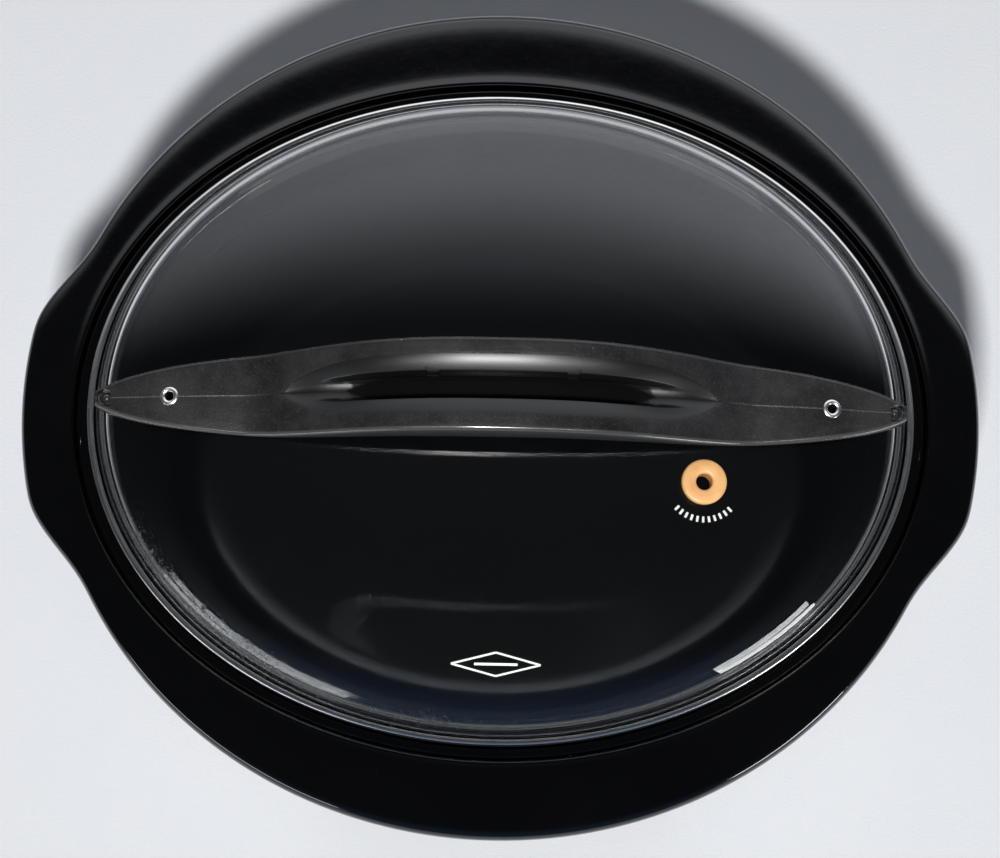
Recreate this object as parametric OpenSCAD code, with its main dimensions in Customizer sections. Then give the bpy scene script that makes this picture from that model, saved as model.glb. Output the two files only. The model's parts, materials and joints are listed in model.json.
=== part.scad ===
// Oval slow cooker: a stoneware crock, a clear domed lid with a strap handle, and an electric base.
// The long axis lies along X, the front of the base faces -Y, and the feet stand on z = 0.

/* [Crock] */
// Half-length of the bowl's mouth
bowl_a = 147; // [143:0.5:151]
// Half-width of the bowl's mouth
bowl_b = 116; // [113:0.5:119]
// Depth of the bowl below the lid's ledge
bowl_depth = 128; // [118:1:138]
// How far the bowl's wall leans in from its mouth to its floor
bowl_draft = 16; // [12:0.5:20]
// Radius of the corner between the bowl's wall and floor
bowl_fillet = 20; // [14:1:26]
// Thickness of the stoneware wall
crock_wall = 8; // [7:0.5:9]
// Thickness of the stoneware floor
crock_floor = 8; // [6:0.5:10]
// Radius of the crock's outer bottom corner
crock_corner = 16; // [12:1:20]
// Width of the flange beyond the gallery at the two ends
flange_end_w = 10; // [8:0.5:12]
// Width of the flange beyond the gallery at the front and back
flange_side_w = 29.5; // [27:0.5:32]
// Thickness of the stoneware under the lid's ledge
flange_t = 5; // [4:0.5:6]
// Fall of the flange from the gallery's ridge to its edge
flange_fall = 2.5; // [1.5:0.25:3.5]
// Reach of each lug beyond the flange
lug_out = 10.4; // [8:0.2:13]
// Half-width of a lug's end between its corners
lug_flat = 33; // [27:1:38]
// How far a lug's end falls back from its middle to its corners
lug_crown = 3.5; // [2:0.25:5]
// Half-width of a lug where it runs into the flange
lug_foot = 67; // [61:1:72]

/* [Lid] */
// Width of the ledge that the lid covers, from the bowl's mouth to the lid's rim
lid_overlap = 8.5; // [8:0.25:9.5]
// Gap between the lid's rim and the gallery wall
gallery_gap = 5; // [4:0.5:6]
// Height of the gallery's ridge above the ledge
gallery_h = 5.5; // [4.5:0.5:6.5]
// Height of the glass dome above its flat edge
dome_rise = 31; // [26:1:36]
// Width of the flat edge around the dome
glass_edge_w = 2.5; // [2.4:0.1:3]
// Thickness of the glass
glass_t = 4; // [3.5:0.25:4.5]
// Thickness of the rim band's steel
band_t = 0.6; // [0.5:0.1:0.8]
// Width of the rim band's lips over the glass
band_w = 2.6; // [2.3:0.1:3]
// Height of the silicone gasket
gasket_h = 4; // [3.5:0.25:4.5]
// Width of the silicone gasket
gasket_w = 5.6; // [5:0.2:6]

/* [Strap handle] */
// Distance from the lid's rim to each tip of the strap
strap_inset = 4.5; // [4:0.25:6]
// Half-width of the strap at its middle
strap_b = 17.5; // [15:0.5:19]
// Thickness of the strap over the rivets
strap_t = 2.2; // [2:0.2:3]
// Gap between the strap and the glass
strap_gap = 1; // [0.9:0.1:1.3]
// Rise of the grip's arch above the rest of the strap
arch_rise = 25.8; // [20:0.2:30]
// Half-length of the grip's arch
arch_a = 96; // [88:1:102]
// Extra thickness in the middle of the grip
grip_t = 10.5; // [10.5:0.5:13]
// Half-length of the trough along the grip
trough_a = 81.5; // [70:0.5:85]
// Half-width of the trough
trough_b = 11.2; // [9:0.2:12]
// Depth of the trough
trough_depth = 10; // [6:0.5:10.5]
// Distance of each rivet from the middle of the lid
rivet_x = 122; // [115:1:128]
// Radius of each rivet's tube
rivet_r = 2.3; // [2:0.1:2.6]
// Radius of each rivet's rolled head
rivet_head_r = 3.5; // [3.2:0.1:4.5]
// Radius of the hole along each rivet
rivet_hole_r = 1.7; // [1.2:0.1:1.8]
// Radius of the catch pocket in each tip
catch_r = 3.4; // [2.8:0.2:3.6]
// Depth of the catch pocket
catch_depth = 2.6; // [1.6:0.2:3]

/* [Probe grommet] */
// Distance of the grommet to the right of the lid's middle
grommet_x = 75.5; // [68:0.5:84]
// Distance of the grommet in front of the lid's middle
grommet_y = 29; // [27:0.5:36]
// Radius of the grommet's flange
grommet_r = 8.4; // [7.6:0.1:9.4]
// Radius of the hole for the temperature probe
probe_r = 3; // [2.4:0.1:3.6]

/* [Base] */
// Height of the rubber feet
foot_h = 7; // [6:0.5:9]
// Radius of each rubber foot
foot_r = 11; // [9:0.5:13]
// Distance of the feet from the middle, lengthwise
foot_x = 98; // [90:1:104]
// Distance of the feet from the middle, front to back
foot_y = 76; // [70:1:80]
// Thickness of the base pan's floor
pan_floor = 3; // [2.5:0.5:4]
// Thickness of the base pan's skirt
pan_wall = 2.4; // [2:0.2:3]
// Height of the base pan's skirt
pan_h = 21; // [20:0.5:24]
// Overlap of the skirt over the bottom of the housing wall
pan_lap = 6; // [4:0.5:7]
// Free height for the boards between the pan's floor and the heat shield
under_space = 17; // [16:0.5:22]
// Thickness of the heat shield
shield_t = 0.8; // [0.6:0.1:1.2]
// Gap between the heat shield and the liner
shield_gap = 5.6; // [5.4:0.2:8]
// Thickness of the liner's sheet
liner_t = 0.8; // [0.6:0.1:1]
// Side clearance between the crock and the liner
crock_gap = 2.8; // [2.2:0.1:3.4]
// Clearance between the crock's bottom and the liner
crock_lift = 2.2; // [1.8:0.1:3]
// Thickness of the housing wall's sheet
shell_t = 1; // [0.8:0.1:1.2]
// Cavity between the liner and the housing at the two ends
cavity_end = 4.4; // [4:0.2:6]
// Cavity between the liner and the housing at the front and back
cavity_side = 9.4; // [9:0.2:11]
// How far the housing wall leans in from top to bottom
shell_draft = 8; // [6:0.5:9]
// Thickness of the trim around the housing's rim
trim_t = 2.5; // [2:0.5:4]
// Height of the trim's skirt
trim_h = 8; // [6:0.5:12]
// Clearance between the crock's flange and the trim
rest_gap = 0.3; // [0.2:0.1:0.5]

/* [Side grips] */
// Reach of each grip beyond the housing wall
grip_out = 14; // [11:0.5:16]
// Half-width of each grip
grip_b = 52; // [44:1:56]
// Height of each grip
grip_h = 30; // [24:1:36]
// Drop from the rim trim down to the grips
grip_drop = 14; // [12:1:20]

/* [Controls] */
// Width of the control bezel
bezel_w = 124; // [118:1:130]
// Height of the control bezel
bezel_h = 54; // [52:1:58]
// Corner radius of the control bezel
bezel_r = 12; // [8:0.5:14]
// Wall thickness of the control bezel
bezel_t = 2.5; // [2:0.1:3]
// Reach of the bezel beyond the housing at its middle
bezel_out = 5; // [4.6:0.2:6]
// Radius of the bezel's arched face
face_r = 600; // [540:10:800]
// Height of the bezel's middle above the surface
bezel_z = 86; // [80:1:92]
// Radius of each button
button_r = 6; // [5:0.1:6.1]
// Distance between neighbouring buttons
button_pitch = 22; // [21.5:0.25:23]
// Travel of each button
button_travel = 1; // [0.6:0.1:1.2]
// Width of the display lens
lens_w = 54; // [46:1:56]
// Height of the display lens
lens_h = 20; // [16:1:20]
// Radius of the hole for the probe's plug
jack_r = 1.8; // [1.4:0.1:2.2]
// Radius of the hole for the mains cord
cord_r = 3.6; // [3:0.1:4]

/* [Hidden] */
$fn = 96;

// Small clearances that many pieces share
fit = 0.15;
bore_fit = 0.05;
eps = 1;

// Levels from the surface up to the lid's rim
pan_z = foot_h;
pan_top = pan_z + pan_floor;
skirt_z = pan_z + pan_h;
shell_z = skirt_z - pan_lap;
shield_z = pan_top + under_space;
liner_z = shield_z + shield_t + shield_gap;
well_z = liner_z + liner_t;
crock_z = well_z + crock_lift;
bowl_z = crock_z + crock_floor;
ledge_z = bowl_z + bowl_depth;
flange_z = ledge_z - flange_t;
ridge_z = ledge_z + gallery_h;
trim_z = flange_z - rest_gap - trim_t;
shell_top = trim_z - liner_t;
gasket_z = ledge_z + rest_gap;
glass_z = gasket_z + gasket_h;
glass_top = glass_z + glass_t;

// Outlines of the crock and the lid
gallery_d = lid_overlap + gallery_gap;
flange_a = bowl_a + gallery_d + flange_end_w;
flange_b = bowl_b + gallery_d + flange_side_w;
lug_reach = flange_a + lug_out;
lid_a = bowl_a + lid_overlap;
lid_b = bowl_b + lid_overlap;
lid_k = lid_b / lid_a;
glass_a = lid_a - band_t - 2 * fit;
dome_a = glass_a - glass_edge_w;
gasket_a = lid_a - band_w - 0.5;
strap_a = lid_a - strap_inset;
crock_facets = 108;

// Outlines of the liner and the housing wall
liner_a = bowl_a + crock_wall + crock_gap;
liner_b = bowl_b + crock_wall + crock_gap;
liner_k = liner_b / liner_a;
shell_a = liner_a + liner_t + cavity_end;
shell_b = liner_b + liner_t + cavity_side;
shell_k = shell_b / shell_a;
trim_out = 1.9;
shield_inset = 8;
band_z = well_z + 12;
band_h = 42;
band_sheet = 1.2;
wrap_t = 4;
wrap_z = band_z - 4;
clamp_x = 7;
clamp_reach = 9;
clamp_bolt_r = 1.6;

// Screws and studs
screw_r = 1.5;
screw_head_r = 3;
screw_head_h = 2;
tie_r = 2.5;
tie_nut_h = 3.2;
boss_r = 4.5;
boss_h = 8;
post_r = 3.2;

// Boards in the base pan
board_w = 92;
board_d = 52;
board_t = 1.6;
board_mid_y = -56;
board_z = pan_top + 3.5;
board_top = board_z + board_t;
board_hole_x = board_w / 2 - 4;
board_hole_y = board_d / 2 - 4;
lead_r = 1.3;
lead_x = 74;

// Control bezel and what it holds
bezel_y = shell_k * shell_a_at(bezel_z) + bezel_out;
face_y = -bezel_y + face_r;
window_w = bezel_w - 12;
window_h = bezel_h - 12;
panel_board_w = 104;
panel_board_h = 37;
panel_board_y = -bezel_y + 11;
panel_post_x = 1.5 * button_pitch;
panel_post_z = 14;
switch_w = 6;
switch_body = 1.8;
switch_tip = 0.8;
stem_r = 2.5;
button_z = bezel_z - 13;
button_gap = 0.3;
button_out = 1.3;
display_z = bezel_z + 10;
side_x = bezel_w / 2 - 18;
lamp_r = 1.5;
lamp_pitch = 8;
lens_seat = 1.8;
lens_sink = face_r - sqrt(face_r * face_r - lens_w * lens_w / 4) + 0.1;

// Side grips, as part of a circle in plan
grip_top = trim_z - grip_drop;
grip_z = grip_top - grip_h;
grip_wall_x = shell_x(grip_z + grip_h / 2, grip_b);
grip_sag = shell_a_at(grip_top) + grip_out - grip_wall_x;
grip_r = (grip_sag * grip_sag + grip_b * grip_b) / (2 * grip_sag);
grip_mid_x = grip_wall_x + grip_sag - grip_r;
grip_lip = 9;
grip_root = 4;
grip_screw_y = 22;
grip_screw_z = grip_top - grip_lip / 2;

// Colours
glaze = [0.03, 0.03, 0.035];
black_plastic = [0.06, 0.06, 0.065];
steel = [0.75, 0.75, 0.77];
aluminised = [0.68, 0.69, 0.7];
clear_glass = [0.75, 0.8, 0.82, 0.35];
grey_silicone = [0.45, 0.46, 0.47];
tan_silicone = [0.86, 0.72, 0.52];
board_green = [0.08, 0.32, 0.18];

// ---- Shared shapes ----

// Half-length of the housing wall's outside at height z
function shell_a_at(z) = shell_a - shell_draft * (shell_top - z) / (shell_top - shell_z);

// Distance of the housing wall's outside from the middle plane, at height z and y from the long axis
function shell_x(z, y) = shell_a_at(z) * sqrt(1 - pow(y / (shell_k * shell_a_at(z)), 2));

// Half-length of the liner's inside at height z
function liner_a_at(z) = liner_a - bowl_draft * (ledge_z - z) / bowl_depth;

// Height at x, y of a dome of half-length a that stands on level z
function dome_height(x, y, a, z) =
    z + dome_rise * pow(max(0, 1 - pow(x / a, 2) - pow(y / (a * lid_k), 2)), 0.35);

// Heights of the glass's top and underside at x, y
function dome_z(x, y) = dome_height(x, y, dome_a, glass_top);
function dome_under(x, y) = dome_height(x, y, dome_a - glass_t, glass_z);

// Slopes of the glass at x, y
function dome_dx(x, y) = dome_z(x + 0.5, y) - dome_z(x - 0.5, y);
function dome_dy(x, y) = dome_z(x, y + 0.5) - dome_z(x, y - 0.5);

// Thickness of the glass at x, y, along its normal
function glass_depth(x, y) = (dome_z(x, y) - dome_under(x, y)) / norm([dome_dx(x, y), dome_dy(x, y), 1]);

// Points of an arc in the plane
function arc(x, y, r, from, to, steps) =
    [for (i = [0:steps]) let(t = from + (to - from) * i / steps) [x + r * cos(t), y + r * sin(t)]];

// Closed solid through rings that all have the same number of points
module loft(rings) {
    n = len(rings[0]);
    last = len(rings) - 1;
    sides = [for (k = [0:last - 1], i = [0:n - 1]) let(j = (i + 1) % n)
        [k * n + i, k * n + j, (k + 1) * n + j, (k + 1) * n + i]];
    first_cap = [for (i = [n - 1:-1:0]) i];
    last_cap = [for (i = [0:n - 1]) last * n + i];
    polyhedron(points = [for (ring = rings) each ring], faces = concat([first_cap], sides, [last_cap]));
}

// Sweep of a profile around an oval whose width is k times its length, one quarter at a time
module oval_revolve(points, k) {
    for (turn = [0:90:270]) scale([1, k, 1]) rotate([0, 0, turn])
        rotate_extrude(angle = 90, $fn = 180) polygon(points);
}

module oval(a, b, h) {
    oval_revolve([[0, 0], [a, 0], [a, h], [0, h]], b / a);
}

module rounded_rect(w, h, r) {
    square([w - 2 * r, h], center = true);
    square([w, h - 2 * r], center = true);
    for (x = [-1, 1], y = [-1, 1]) translate([x * (w / 2 - r), y * (h / 2 - r)]) circle(r);
}

// Screw with its head below z = 0 and its shank along +Z
module screw(length, head_r = screw_head_r, head_h = screw_head_h, r = screw_r) {
    difference() {
        translate([0, 0, -head_h]) cylinder(r = head_r, h = head_h);
        for (turn = [0, 90]) rotate([0, 0, turn])
            translate([-head_r * 0.6, -0.4, -head_h - eps]) cube([head_r * 1.2, 0.8, head_h / 2 + eps]);
    }
    cylinder(r = r, h = length);
}

module four_corners(x, y) {
    for (sx = [-1, 1], sy = [-1, 1]) translate([sx * x, sy * y, 0]) children();
}

// Half-length of the liner's flat floor
well_floor_a = liner_a_at(well_z + crock_corner) - crock_corner;

// ---- Crock ----

// How much of the lug shows at distance y from the long axis
function lug_share(y) = let(u = min(1, max(0, (abs(y) - lug_flat) / (lug_foot - lug_flat))))
    1 - u * u * (3 - 2 * u);

// Outline of the flange: an ellipse that swells into a crowned lug at each end
function flange_point(t) = let(x = flange_a * cos(t), y = flange_b * sin(t),
                               reach = lug_reach - lug_crown * pow(y / lug_flat, 2))
    [x + sign(x) * (reach - abs(x)) * lug_share(y), y];

// Even steps around the crock, drawn closer together at the lugs
function crock_angle(i) = let(u = 360 * i / crock_facets) u - 11 * sin(2 * u);

// One ring of the crock: the bowl's mouth set outwards by d, then a share m of the way to the flange
function crock_ring(d, m, z) = [for (i = [0:crock_facets - 1])
    let(t = crock_angle(i),
        p = [(bowl_a + d) * cos(t), (bowl_b + d) * sin(t)],
        q = p + (flange_point(t) - p) * m)
    [q[0], q[1], z]];

function bowl_corner() = [for (t = [0:18:90])
    [bowl_fillet * (sin(t) - 1) - bowl_draft, 0, bowl_z + bowl_fillet * (1 - cos(t))]];

function outer_corner() = [for (t = [90:-18:0])
    [crock_wall - bowl_draft + crock_corner * (sin(t) - 1), 0, crock_z + crock_corner * (1 - cos(t))]];

crock_rows = concat(bowl_corner(), [
    [0, 0, ledge_z - 2.5],
    [0.8, 0, ledge_z - 0.8],
    [2.5, 0, ledge_z],
    [gallery_d - 1.6, 0, ledge_z],
    [gallery_d, 0, ledge_z + 1.6],
    [gallery_d + 0.2, 0, ridge_z - 1],
    [gallery_d + 1.1, 0, ridge_z],
    [gallery_d + 2.4, 0, ridge_z - 0.3],
    [gallery_d + 2.8, 0.1, ridge_z - 0.4 * flange_fall],
    [gallery_d + 2.8, 0.75, ridge_z - 0.56 * flange_fall],
    [gallery_d + 2.8, 0.93, ridge_z - flange_fall - 0.4],
    [gallery_d + 2.8, 1, ridge_z - flange_fall - 2.6],
    [gallery_d + 2.8, 1, flange_z + 2.4],
    [gallery_d + 2.8, 0.93, flange_z],
    [crock_wall + 1.4, 0, flange_z],
    [crock_wall, 0, flange_z - 1.4]
], outer_corner());

module crock() {
    color(glaze) loft([for (row = crock_rows) crock_ring(row[0], row[1], row[2])]);
}

// ---- Lid ----

// Places children on the glass at x, y, with +Z along the glass's outward normal
module on_glass(x, y) {
    dx = dome_dx(x, y);
    dy = dome_dy(x, y);
    downhill = atan2(-dy, -dx);
    translate([x, y, dome_z(x, y)]) rotate([0, 0, downhill]) rotate([0, atan(norm([dx, dy])), 0]) children();
}

// The dome's profile: flat at the edge, steep above it, then gently crowned
function dome_profile(a, z, from, to, steps) = [for (i = [0:steps])
    let(t = from + (to - from) * i / steps)
    [a * sin(t), z + dome_rise * pow(cos(t), 0.7)]];

module lid_glass() {
    color(clear_glass) difference() {
        oval_revolve(concat(
            [[0, glass_z + dome_rise], [0, glass_top + dome_rise]],
            dome_profile(dome_a, glass_top, 9, 81, 8),
            [[dome_a, glass_top], [glass_a, glass_top], [glass_a, glass_z], [dome_a - glass_t, glass_z]],
            dome_profile(dome_a - glass_t, glass_z, 81, 9, 8)), lid_k);
        for (side = [-1, 1]) on_glass(side * rivet_x, 0)
            translate([0, 0, -3 * glass_t]) cylinder(r = rivet_r + bore_fit, h = 5 * glass_t);
        on_glass(grommet_x, -grommet_y)
            translate([0, 0, -3 * glass_t]) cylinder(r = grommet_neck_r + bore_fit, h = 5 * glass_t);
    }
}

module lid_rim_band() {
    color(steel) oval_revolve([
        [lid_a - band_w, glass_z - band_t], [lid_a, glass_z - band_t], [lid_a, glass_top + band_t],
        [lid_a - band_w, glass_top + band_t], [lid_a - band_w, glass_top], [lid_a - band_t, glass_top],
        [lid_a - band_t, glass_z], [lid_a - band_w, glass_z]], lid_k);
}

module lid_gasket() {
    lip = gasket_w / 4;
    color(grey_silicone) oval_revolve([
        [gasket_a - gasket_w, glass_z], [gasket_a - gasket_w, gasket_z + lip],
        [gasket_a - gasket_w + lip, gasket_z], [gasket_a - lip, gasket_z],
        [gasket_a, gasket_z + lip], [gasket_a, glass_z]], lid_k);
}

// Share of the arch's height at x
function arch_share(x) = pow(max(0, 1 - pow(abs(x) / arch_a, 2.8)), 2);

function strap_sheet(x) = strap_t + 1.2 * strap_t * pow(x / strap_a, 6);

// Line that the strap follows: the glass, then straight on past strap_tip_x, so that each tip stands clear
strap_tip_l = 23;
strap_tip_x = strap_a - strap_tip_l;
function strap_line(x) = dome_z(min(abs(x), strap_tip_x), 0)
    + dome_dx(strap_tip_x, 0) * max(0, abs(x) - strap_tip_x);

function strap_top(x) = strap_line(x) + strap_gap + strap_sheet(x) + arch_rise * arch_share(x);
function strap_under(x) = strap_top(x) - strap_sheet(x) - grip_t * arch_share(x);
function strap_half_width(x) = strap_b * pow(1 - pow(abs(x) / (strap_a + 2), 3), 0.58);
function trough(x, y) =
    trough_depth * pow(max(0, 1 - pow(x / trough_a, 2) - pow(y / trough_b, 2)), 0.5);

// Half-width of the trough at x, kept above a share of the strap where the trough has ended
function trough_edge(x, w) = max(0.15 * w, trough_b * sqrt(max(0, 1 - pow(x / trough_a, 2))));

trough_shares = [1, 0.96, 0.88, 0.72, 0.4, 0];
strap_stations = 72;

// Left half of the strap's top at x, from its long edge to its middle
function strap_half_top(x, w) = let(edge = trough_edge(x, w))
    concat([0.95 * w, (w + edge) / 2], [for (f = trough_shares) f * edge]);

// Cross-section of the strap at x: the trough in the top, rounded long edges and a flat underside
function strap_ring(x) = let(w = strap_half_width(x), top = strap_top(x), under = strap_under(x),
                             half = strap_half_top(x, w), n = len(half))
    concat(
        [[x, w, top - 0.8]],
        [for (y = half) [x, y, top - trough(x, y)]],
        [for (i = [2:n]) [x, -half[n - i], top - trough(x, half[n - i])]],
        [[x, -w, top - 0.8], [x, -w, under + 0.4], [x, -0.9 * w, under], [x, 0, under], [x, 0.9 * w, under],
         [x, w, under + 0.4]]);

module lid_handle() {
    catch_x = strap_a - catch_r - 0.8;
    color(black_plastic) difference() {
        loft([for (i = [0:strap_stations]) strap_ring(strap_a * sin(90 * (2 * i / strap_stations - 1)))]);
        for (side = [-1, 1]) {
            on_glass(side * rivet_x, 0) translate([0, 0, -eps])
                cylinder(r = rivet_r + bore_fit, h = 5 * glass_t);
            translate([side * catch_x, 0, strap_top(catch_x) - catch_depth]) intersection() {
                cylinder(r = catch_r, h = 3 * catch_depth);
                translate([side * catch_r * 0.75, 0, 0])
                    cube([2.5 * catch_r, 2 * catch_r, 6 * catch_depth], center = true);
            }
        }
    }
}

module handle_washers() {
    color(grey_silicone) for (side = [-1, 1]) on_glass(side * rivet_x, 0) translate([0, 0, 0.1])
        difference() {
            cylinder(r = 2.4 * rivet_r, h = strap_gap - 0.3);
            translate([0, 0, -eps]) cylinder(r = rivet_r + bore_fit, h = strap_gap + 2 * eps);
        }
}

// Tubular rivet through the strap, its washer and the glass
module rivet() {
    head_h = 0.8;
    under = -glass_depth(rivet_x, 0) - 0.35;
    grip = strap_gap + strap_sheet(rivet_x);
    rotate_extrude() polygon([
        [rivet_hole_r, under - head_h], [rivet_head_r + 0.5, under - head_h], [rivet_head_r + 0.5, under],
        [rivet_r, under], [rivet_r, grip], [rivet_head_r, grip], [rivet_head_r - 0.4, grip + head_h * 0.7],
        [rivet_r, grip + head_h], [rivet_hole_r, grip + head_h * 0.5]]);
}

module lid_rivets() {
    color(steel) for (side = [-1, 1]) on_glass(side * rivet_x, 0) rivet();
}

grommet_neck_r = grommet_r - 2.6;
grommet_top = 2.6;
grommet_under = 1.8;

module probe_grommet() {
    under = -glass_depth(grommet_x, grommet_y) - 0.25;
    color(tan_silicone) on_glass(grommet_x, -grommet_y) rotate_extrude() polygon([
        [probe_r, under - grommet_under], [grommet_r - 1.2, under - grommet_under], [grommet_r - 0.8, under],
        [grommet_neck_r, under], [grommet_neck_r, 0.1], [grommet_r, 0.1], [grommet_r, grommet_top * 0.5],
        [grommet_r - 1.4, grommet_top], [probe_r, grommet_top]]);
}

// ---- Base pan, feet and housing ----

// Half-length of the pan's ledge under the housing wall, and of the pan's inside at its floor
pan_ledge_a = shell_a_at(shell_z) - shell_t - 2;
pan_inside_a = pan_ledge_a - 2;

module base_pan() {
    corner = 5;
    low_a = shell_a_at(pan_z + corner) + pan_wall + fit;
    high_a = shell_a_at(skirt_z) + pan_wall + fit;
    color(black_plastic) difference() {
        union() {
            oval_revolve([
                [0, pan_z], [low_a - corner, pan_z], [low_a, pan_z + corner], [high_a, skirt_z],
                [high_a - pan_wall, skirt_z], [shell_a_at(shell_z) + fit, shell_z], [pan_ledge_a, shell_z],
                [pan_inside_a, pan_top], [0, pan_top]], shell_k);
            translate([0, 0, pan_z + eps]) cylinder(r = 3 * tie_r, h = shield_z - pan_z - eps);
            four_corners(foot_x, foot_y) translate([0, 0, pan_z + eps])
                cylinder(r = boss_r, h = pan_floor + boss_h);
            translate([0, board_mid_y, 0]) four_corners(board_hole_x, board_hole_y)
                translate([0, 0, pan_z + eps]) cylinder(r = post_r, h = board_z - pan_z - eps);
        }
        translate([0, 0, pan_z - eps]) cylinder(r = tie_r + bore_fit, h = shield_z);
        four_corners(foot_x, foot_y) translate([0, 0, pan_z - eps])
            cylinder(r = screw_r + bore_fit, h = boss_h + eps);
        translate([0, board_mid_y, 0]) four_corners(board_hole_x, board_hole_y)
            translate([0, 0, pan_z + eps]) cylinder(r = screw_r + bore_fit, h = board_z);
        vent_slots();
        cord_axis() cylinder(r = gland_r + bore_fit, h = 4 * gland_r, center = true);
    }
}

module vent_slots() {
    slot = [3, 28, 4 * pan_floor];
    for (i = [-4:4]) translate([12 * i - slot[0] / 2, 32, pan_z - eps]) cube(slot);
}

module rubber_feet() {
    color([0.05, 0.05, 0.05]) four_corners(foot_x, foot_y) difference() {
        cylinder(r1 = foot_r - 1.5, r2 = foot_r, h = foot_h);
        translate([0, 0, -eps]) cylinder(r = screw_head_r + 1, h = foot_h / 2 + eps);
        cylinder(r = screw_r + bore_fit, h = foot_h + eps);
    }
}

module foot_screws() {
    color(steel) four_corners(foot_x, foot_y) translate([0, 0, foot_h / 2]) screw(foot_h / 2 + boss_h - 1);
}

// Solid bounded by the outside of the housing wall, set out by d
module shell_core(d, z0, z1) {
    oval_revolve([[0, z0], [shell_a_at(z0) + d, z0], [shell_a_at(z1) + d, z1], [0, z1]], shell_k);
}

module housing_shell() {
    low_a = shell_a_at(shell_z);
    color(steel) difference() {
        oval_revolve([[low_a - shell_t, shell_z], [low_a, shell_z], [shell_a, shell_top],
                      [shell_a - shell_t, shell_top]], shell_k);
        translate([0, -bezel_y + 25, bezel_z]) rotate([90, 0, 0])
            linear_extrude(50) rounded_rect(window_w, window_h, bezel_r - 4);
        for (side = [-1, 1], y = [-grip_screw_y, grip_screw_y])
            translate([side * grip_mid_x, y, grip_screw_z]) rotate([0, side * 90, 0])
                cylinder(r = screw_r + bore_fit, h = shell_a);
    }
}

module rim_trim() {
    color(black_plastic) difference() {
        translate([0, 0, trim_z - trim_h]) oval(shell_a + trim_out, shell_b + trim_out, trim_h + trim_t);
        translate([0, 0, trim_z - trim_h - eps]) oval(shell_a + fit, shell_b + fit, trim_h + eps);
        translate([0, 0, trim_z - eps]) oval(liner_a, liner_b, trim_t + 2 * eps);
    }
}

// ---- Heating well ----

// Solid inside the liner's sheet, set out by d, up to height top
module liner_core(d, top) {
    oval_revolve(concat(
        [[0, well_z - d]], arc(well_floor_a, well_z + crock_corner, crock_corner + d, -90, 0, 6),
        [[liner_a_at(top) + d, top], [0, top]]), liner_k);
}

module heating_liner() {
    color(aluminised) difference() {
        union() {
            liner_core(liner_t, shell_top + liner_t / 2);
            translate([0, 0, shell_top]) oval(shell_a, shell_b, liner_t);
        }
        liner_core(0, shell_top + liner_t + eps);
    }
}

// Ring around the liner between heights z0 and z1, from d0 to d1 outside its sheet
module liner_hoop(z0, z1, d0, d1) {
    low_a = liner_a_at(z0) + liner_t;
    high_a = liner_a_at(z1) + liner_t;
    oval_revolve([[low_a + d0, z0], [low_a + d1, z0], [high_a + d1, z1], [high_a + d0, z1]], liner_k);
}

// Back of the heater band, where its two ends are clamped together
clamp_y = (liner_a_at(band_z + band_h) + liner_t) * liner_k;

// Depth of the heater band's middle at height z, at its back
function band_y(z) = (liner_a_at(z) + liner_t + fit + band_sheet / 2) * liner_k;

// Outline of each clamping tab, which follows the leaning band
function tab_outline() = let(low = band_z + 4, high = band_z + band_h - 4, tip = band_y(high) + clamp_reach)
    [[band_y(low), low], [tip, low], [tip, high], [band_y(high), high]];

module heater_band() {
    color([0.6, 0.58, 0.52]) difference() {
        union() {
            liner_hoop(band_z, band_z + band_h, fit, fit + band_sheet);
            for (side = [-1, 1]) translate([side * clamp_x - band_sheet / 2, 0, 0])
                rotate([90, 0, 90]) linear_extrude(band_sheet) polygon(tab_outline());
        }
        translate([-clamp_x + band_sheet / 2, clamp_y - 30, band_z - eps])
            cube([2 * clamp_x - band_sheet, 60, band_h + 2 * eps]);
        at_clamps() rotate([0, 90, 0]) cylinder(r = clamp_bolt_r + bore_fit, h = 6 * clamp_x, center = true);
    }
}

module at_clamps() {
    for (z = [band_z + 11, band_z + band_h - 11]) translate([0, clamp_y + 0.62 * clamp_reach, z]) children();
}

module band_clamp_bolts() {
    color(steel) at_clamps() translate([-clamp_x - band_sheet / 2, 0, 0]) rotate([0, 90, 0])
        screw(2 * clamp_x + band_sheet + 4, 2.8, 1.8, clamp_bolt_r);
}

module band_clamp_nuts() {
    color(steel) at_clamps() translate([clamp_x + band_sheet / 2, 0, 0]) rotate([0, 90, 0]) difference() {
        cylinder(r = 3, h = 2.4, $fn = 6);
        translate([0, 0, -eps]) cylinder(r = clamp_bolt_r + bore_fit, h = 2.4 + 2 * eps);
    }
}

module insulation_wrap() {
    inner = fit + band_sheet + fit;
    color([0.88, 0.85, 0.72]) difference() {
        liner_hoop(wrap_z, band_z + band_h - 4, inner, inner + wrap_t);
        translate([-22, clamp_y - 40, wrap_z - eps]) cube([44, 80, band_h + 20]);
    }
}

module heat_shield() {
    color(aluminised) translate([0, 0, shield_z]) difference() {
        oval(well_floor_a - shield_inset, well_floor_a * liner_k - shield_inset, shield_t);
        translate([0, 0, -eps]) cylinder(r = tie_r + bore_fit, h = shield_t + 2 * eps);
    }
}

module tie_stud() {
    stud_z = pan_z - tie_nut_h - 1;
    color(steel) {
        translate([0, 0, shield_z + shield_t]) cylinder(r = 2 * tie_r, h = shield_gap);
        translate([0, 0, stud_z]) cylinder(r = tie_r, h = shield_z + shield_t + 1 - stud_z);
    }
}

module tie_nut() {
    color(steel) translate([0, 0, pan_z - tie_nut_h]) difference() {
        cylinder(r = 1.8 * tie_r, h = tie_nut_h, $fn = 6);
        translate([0, 0, -eps]) cylinder(r = tie_r + bore_fit, h = tie_nut_h + 2 * eps);
    }
}

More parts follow.
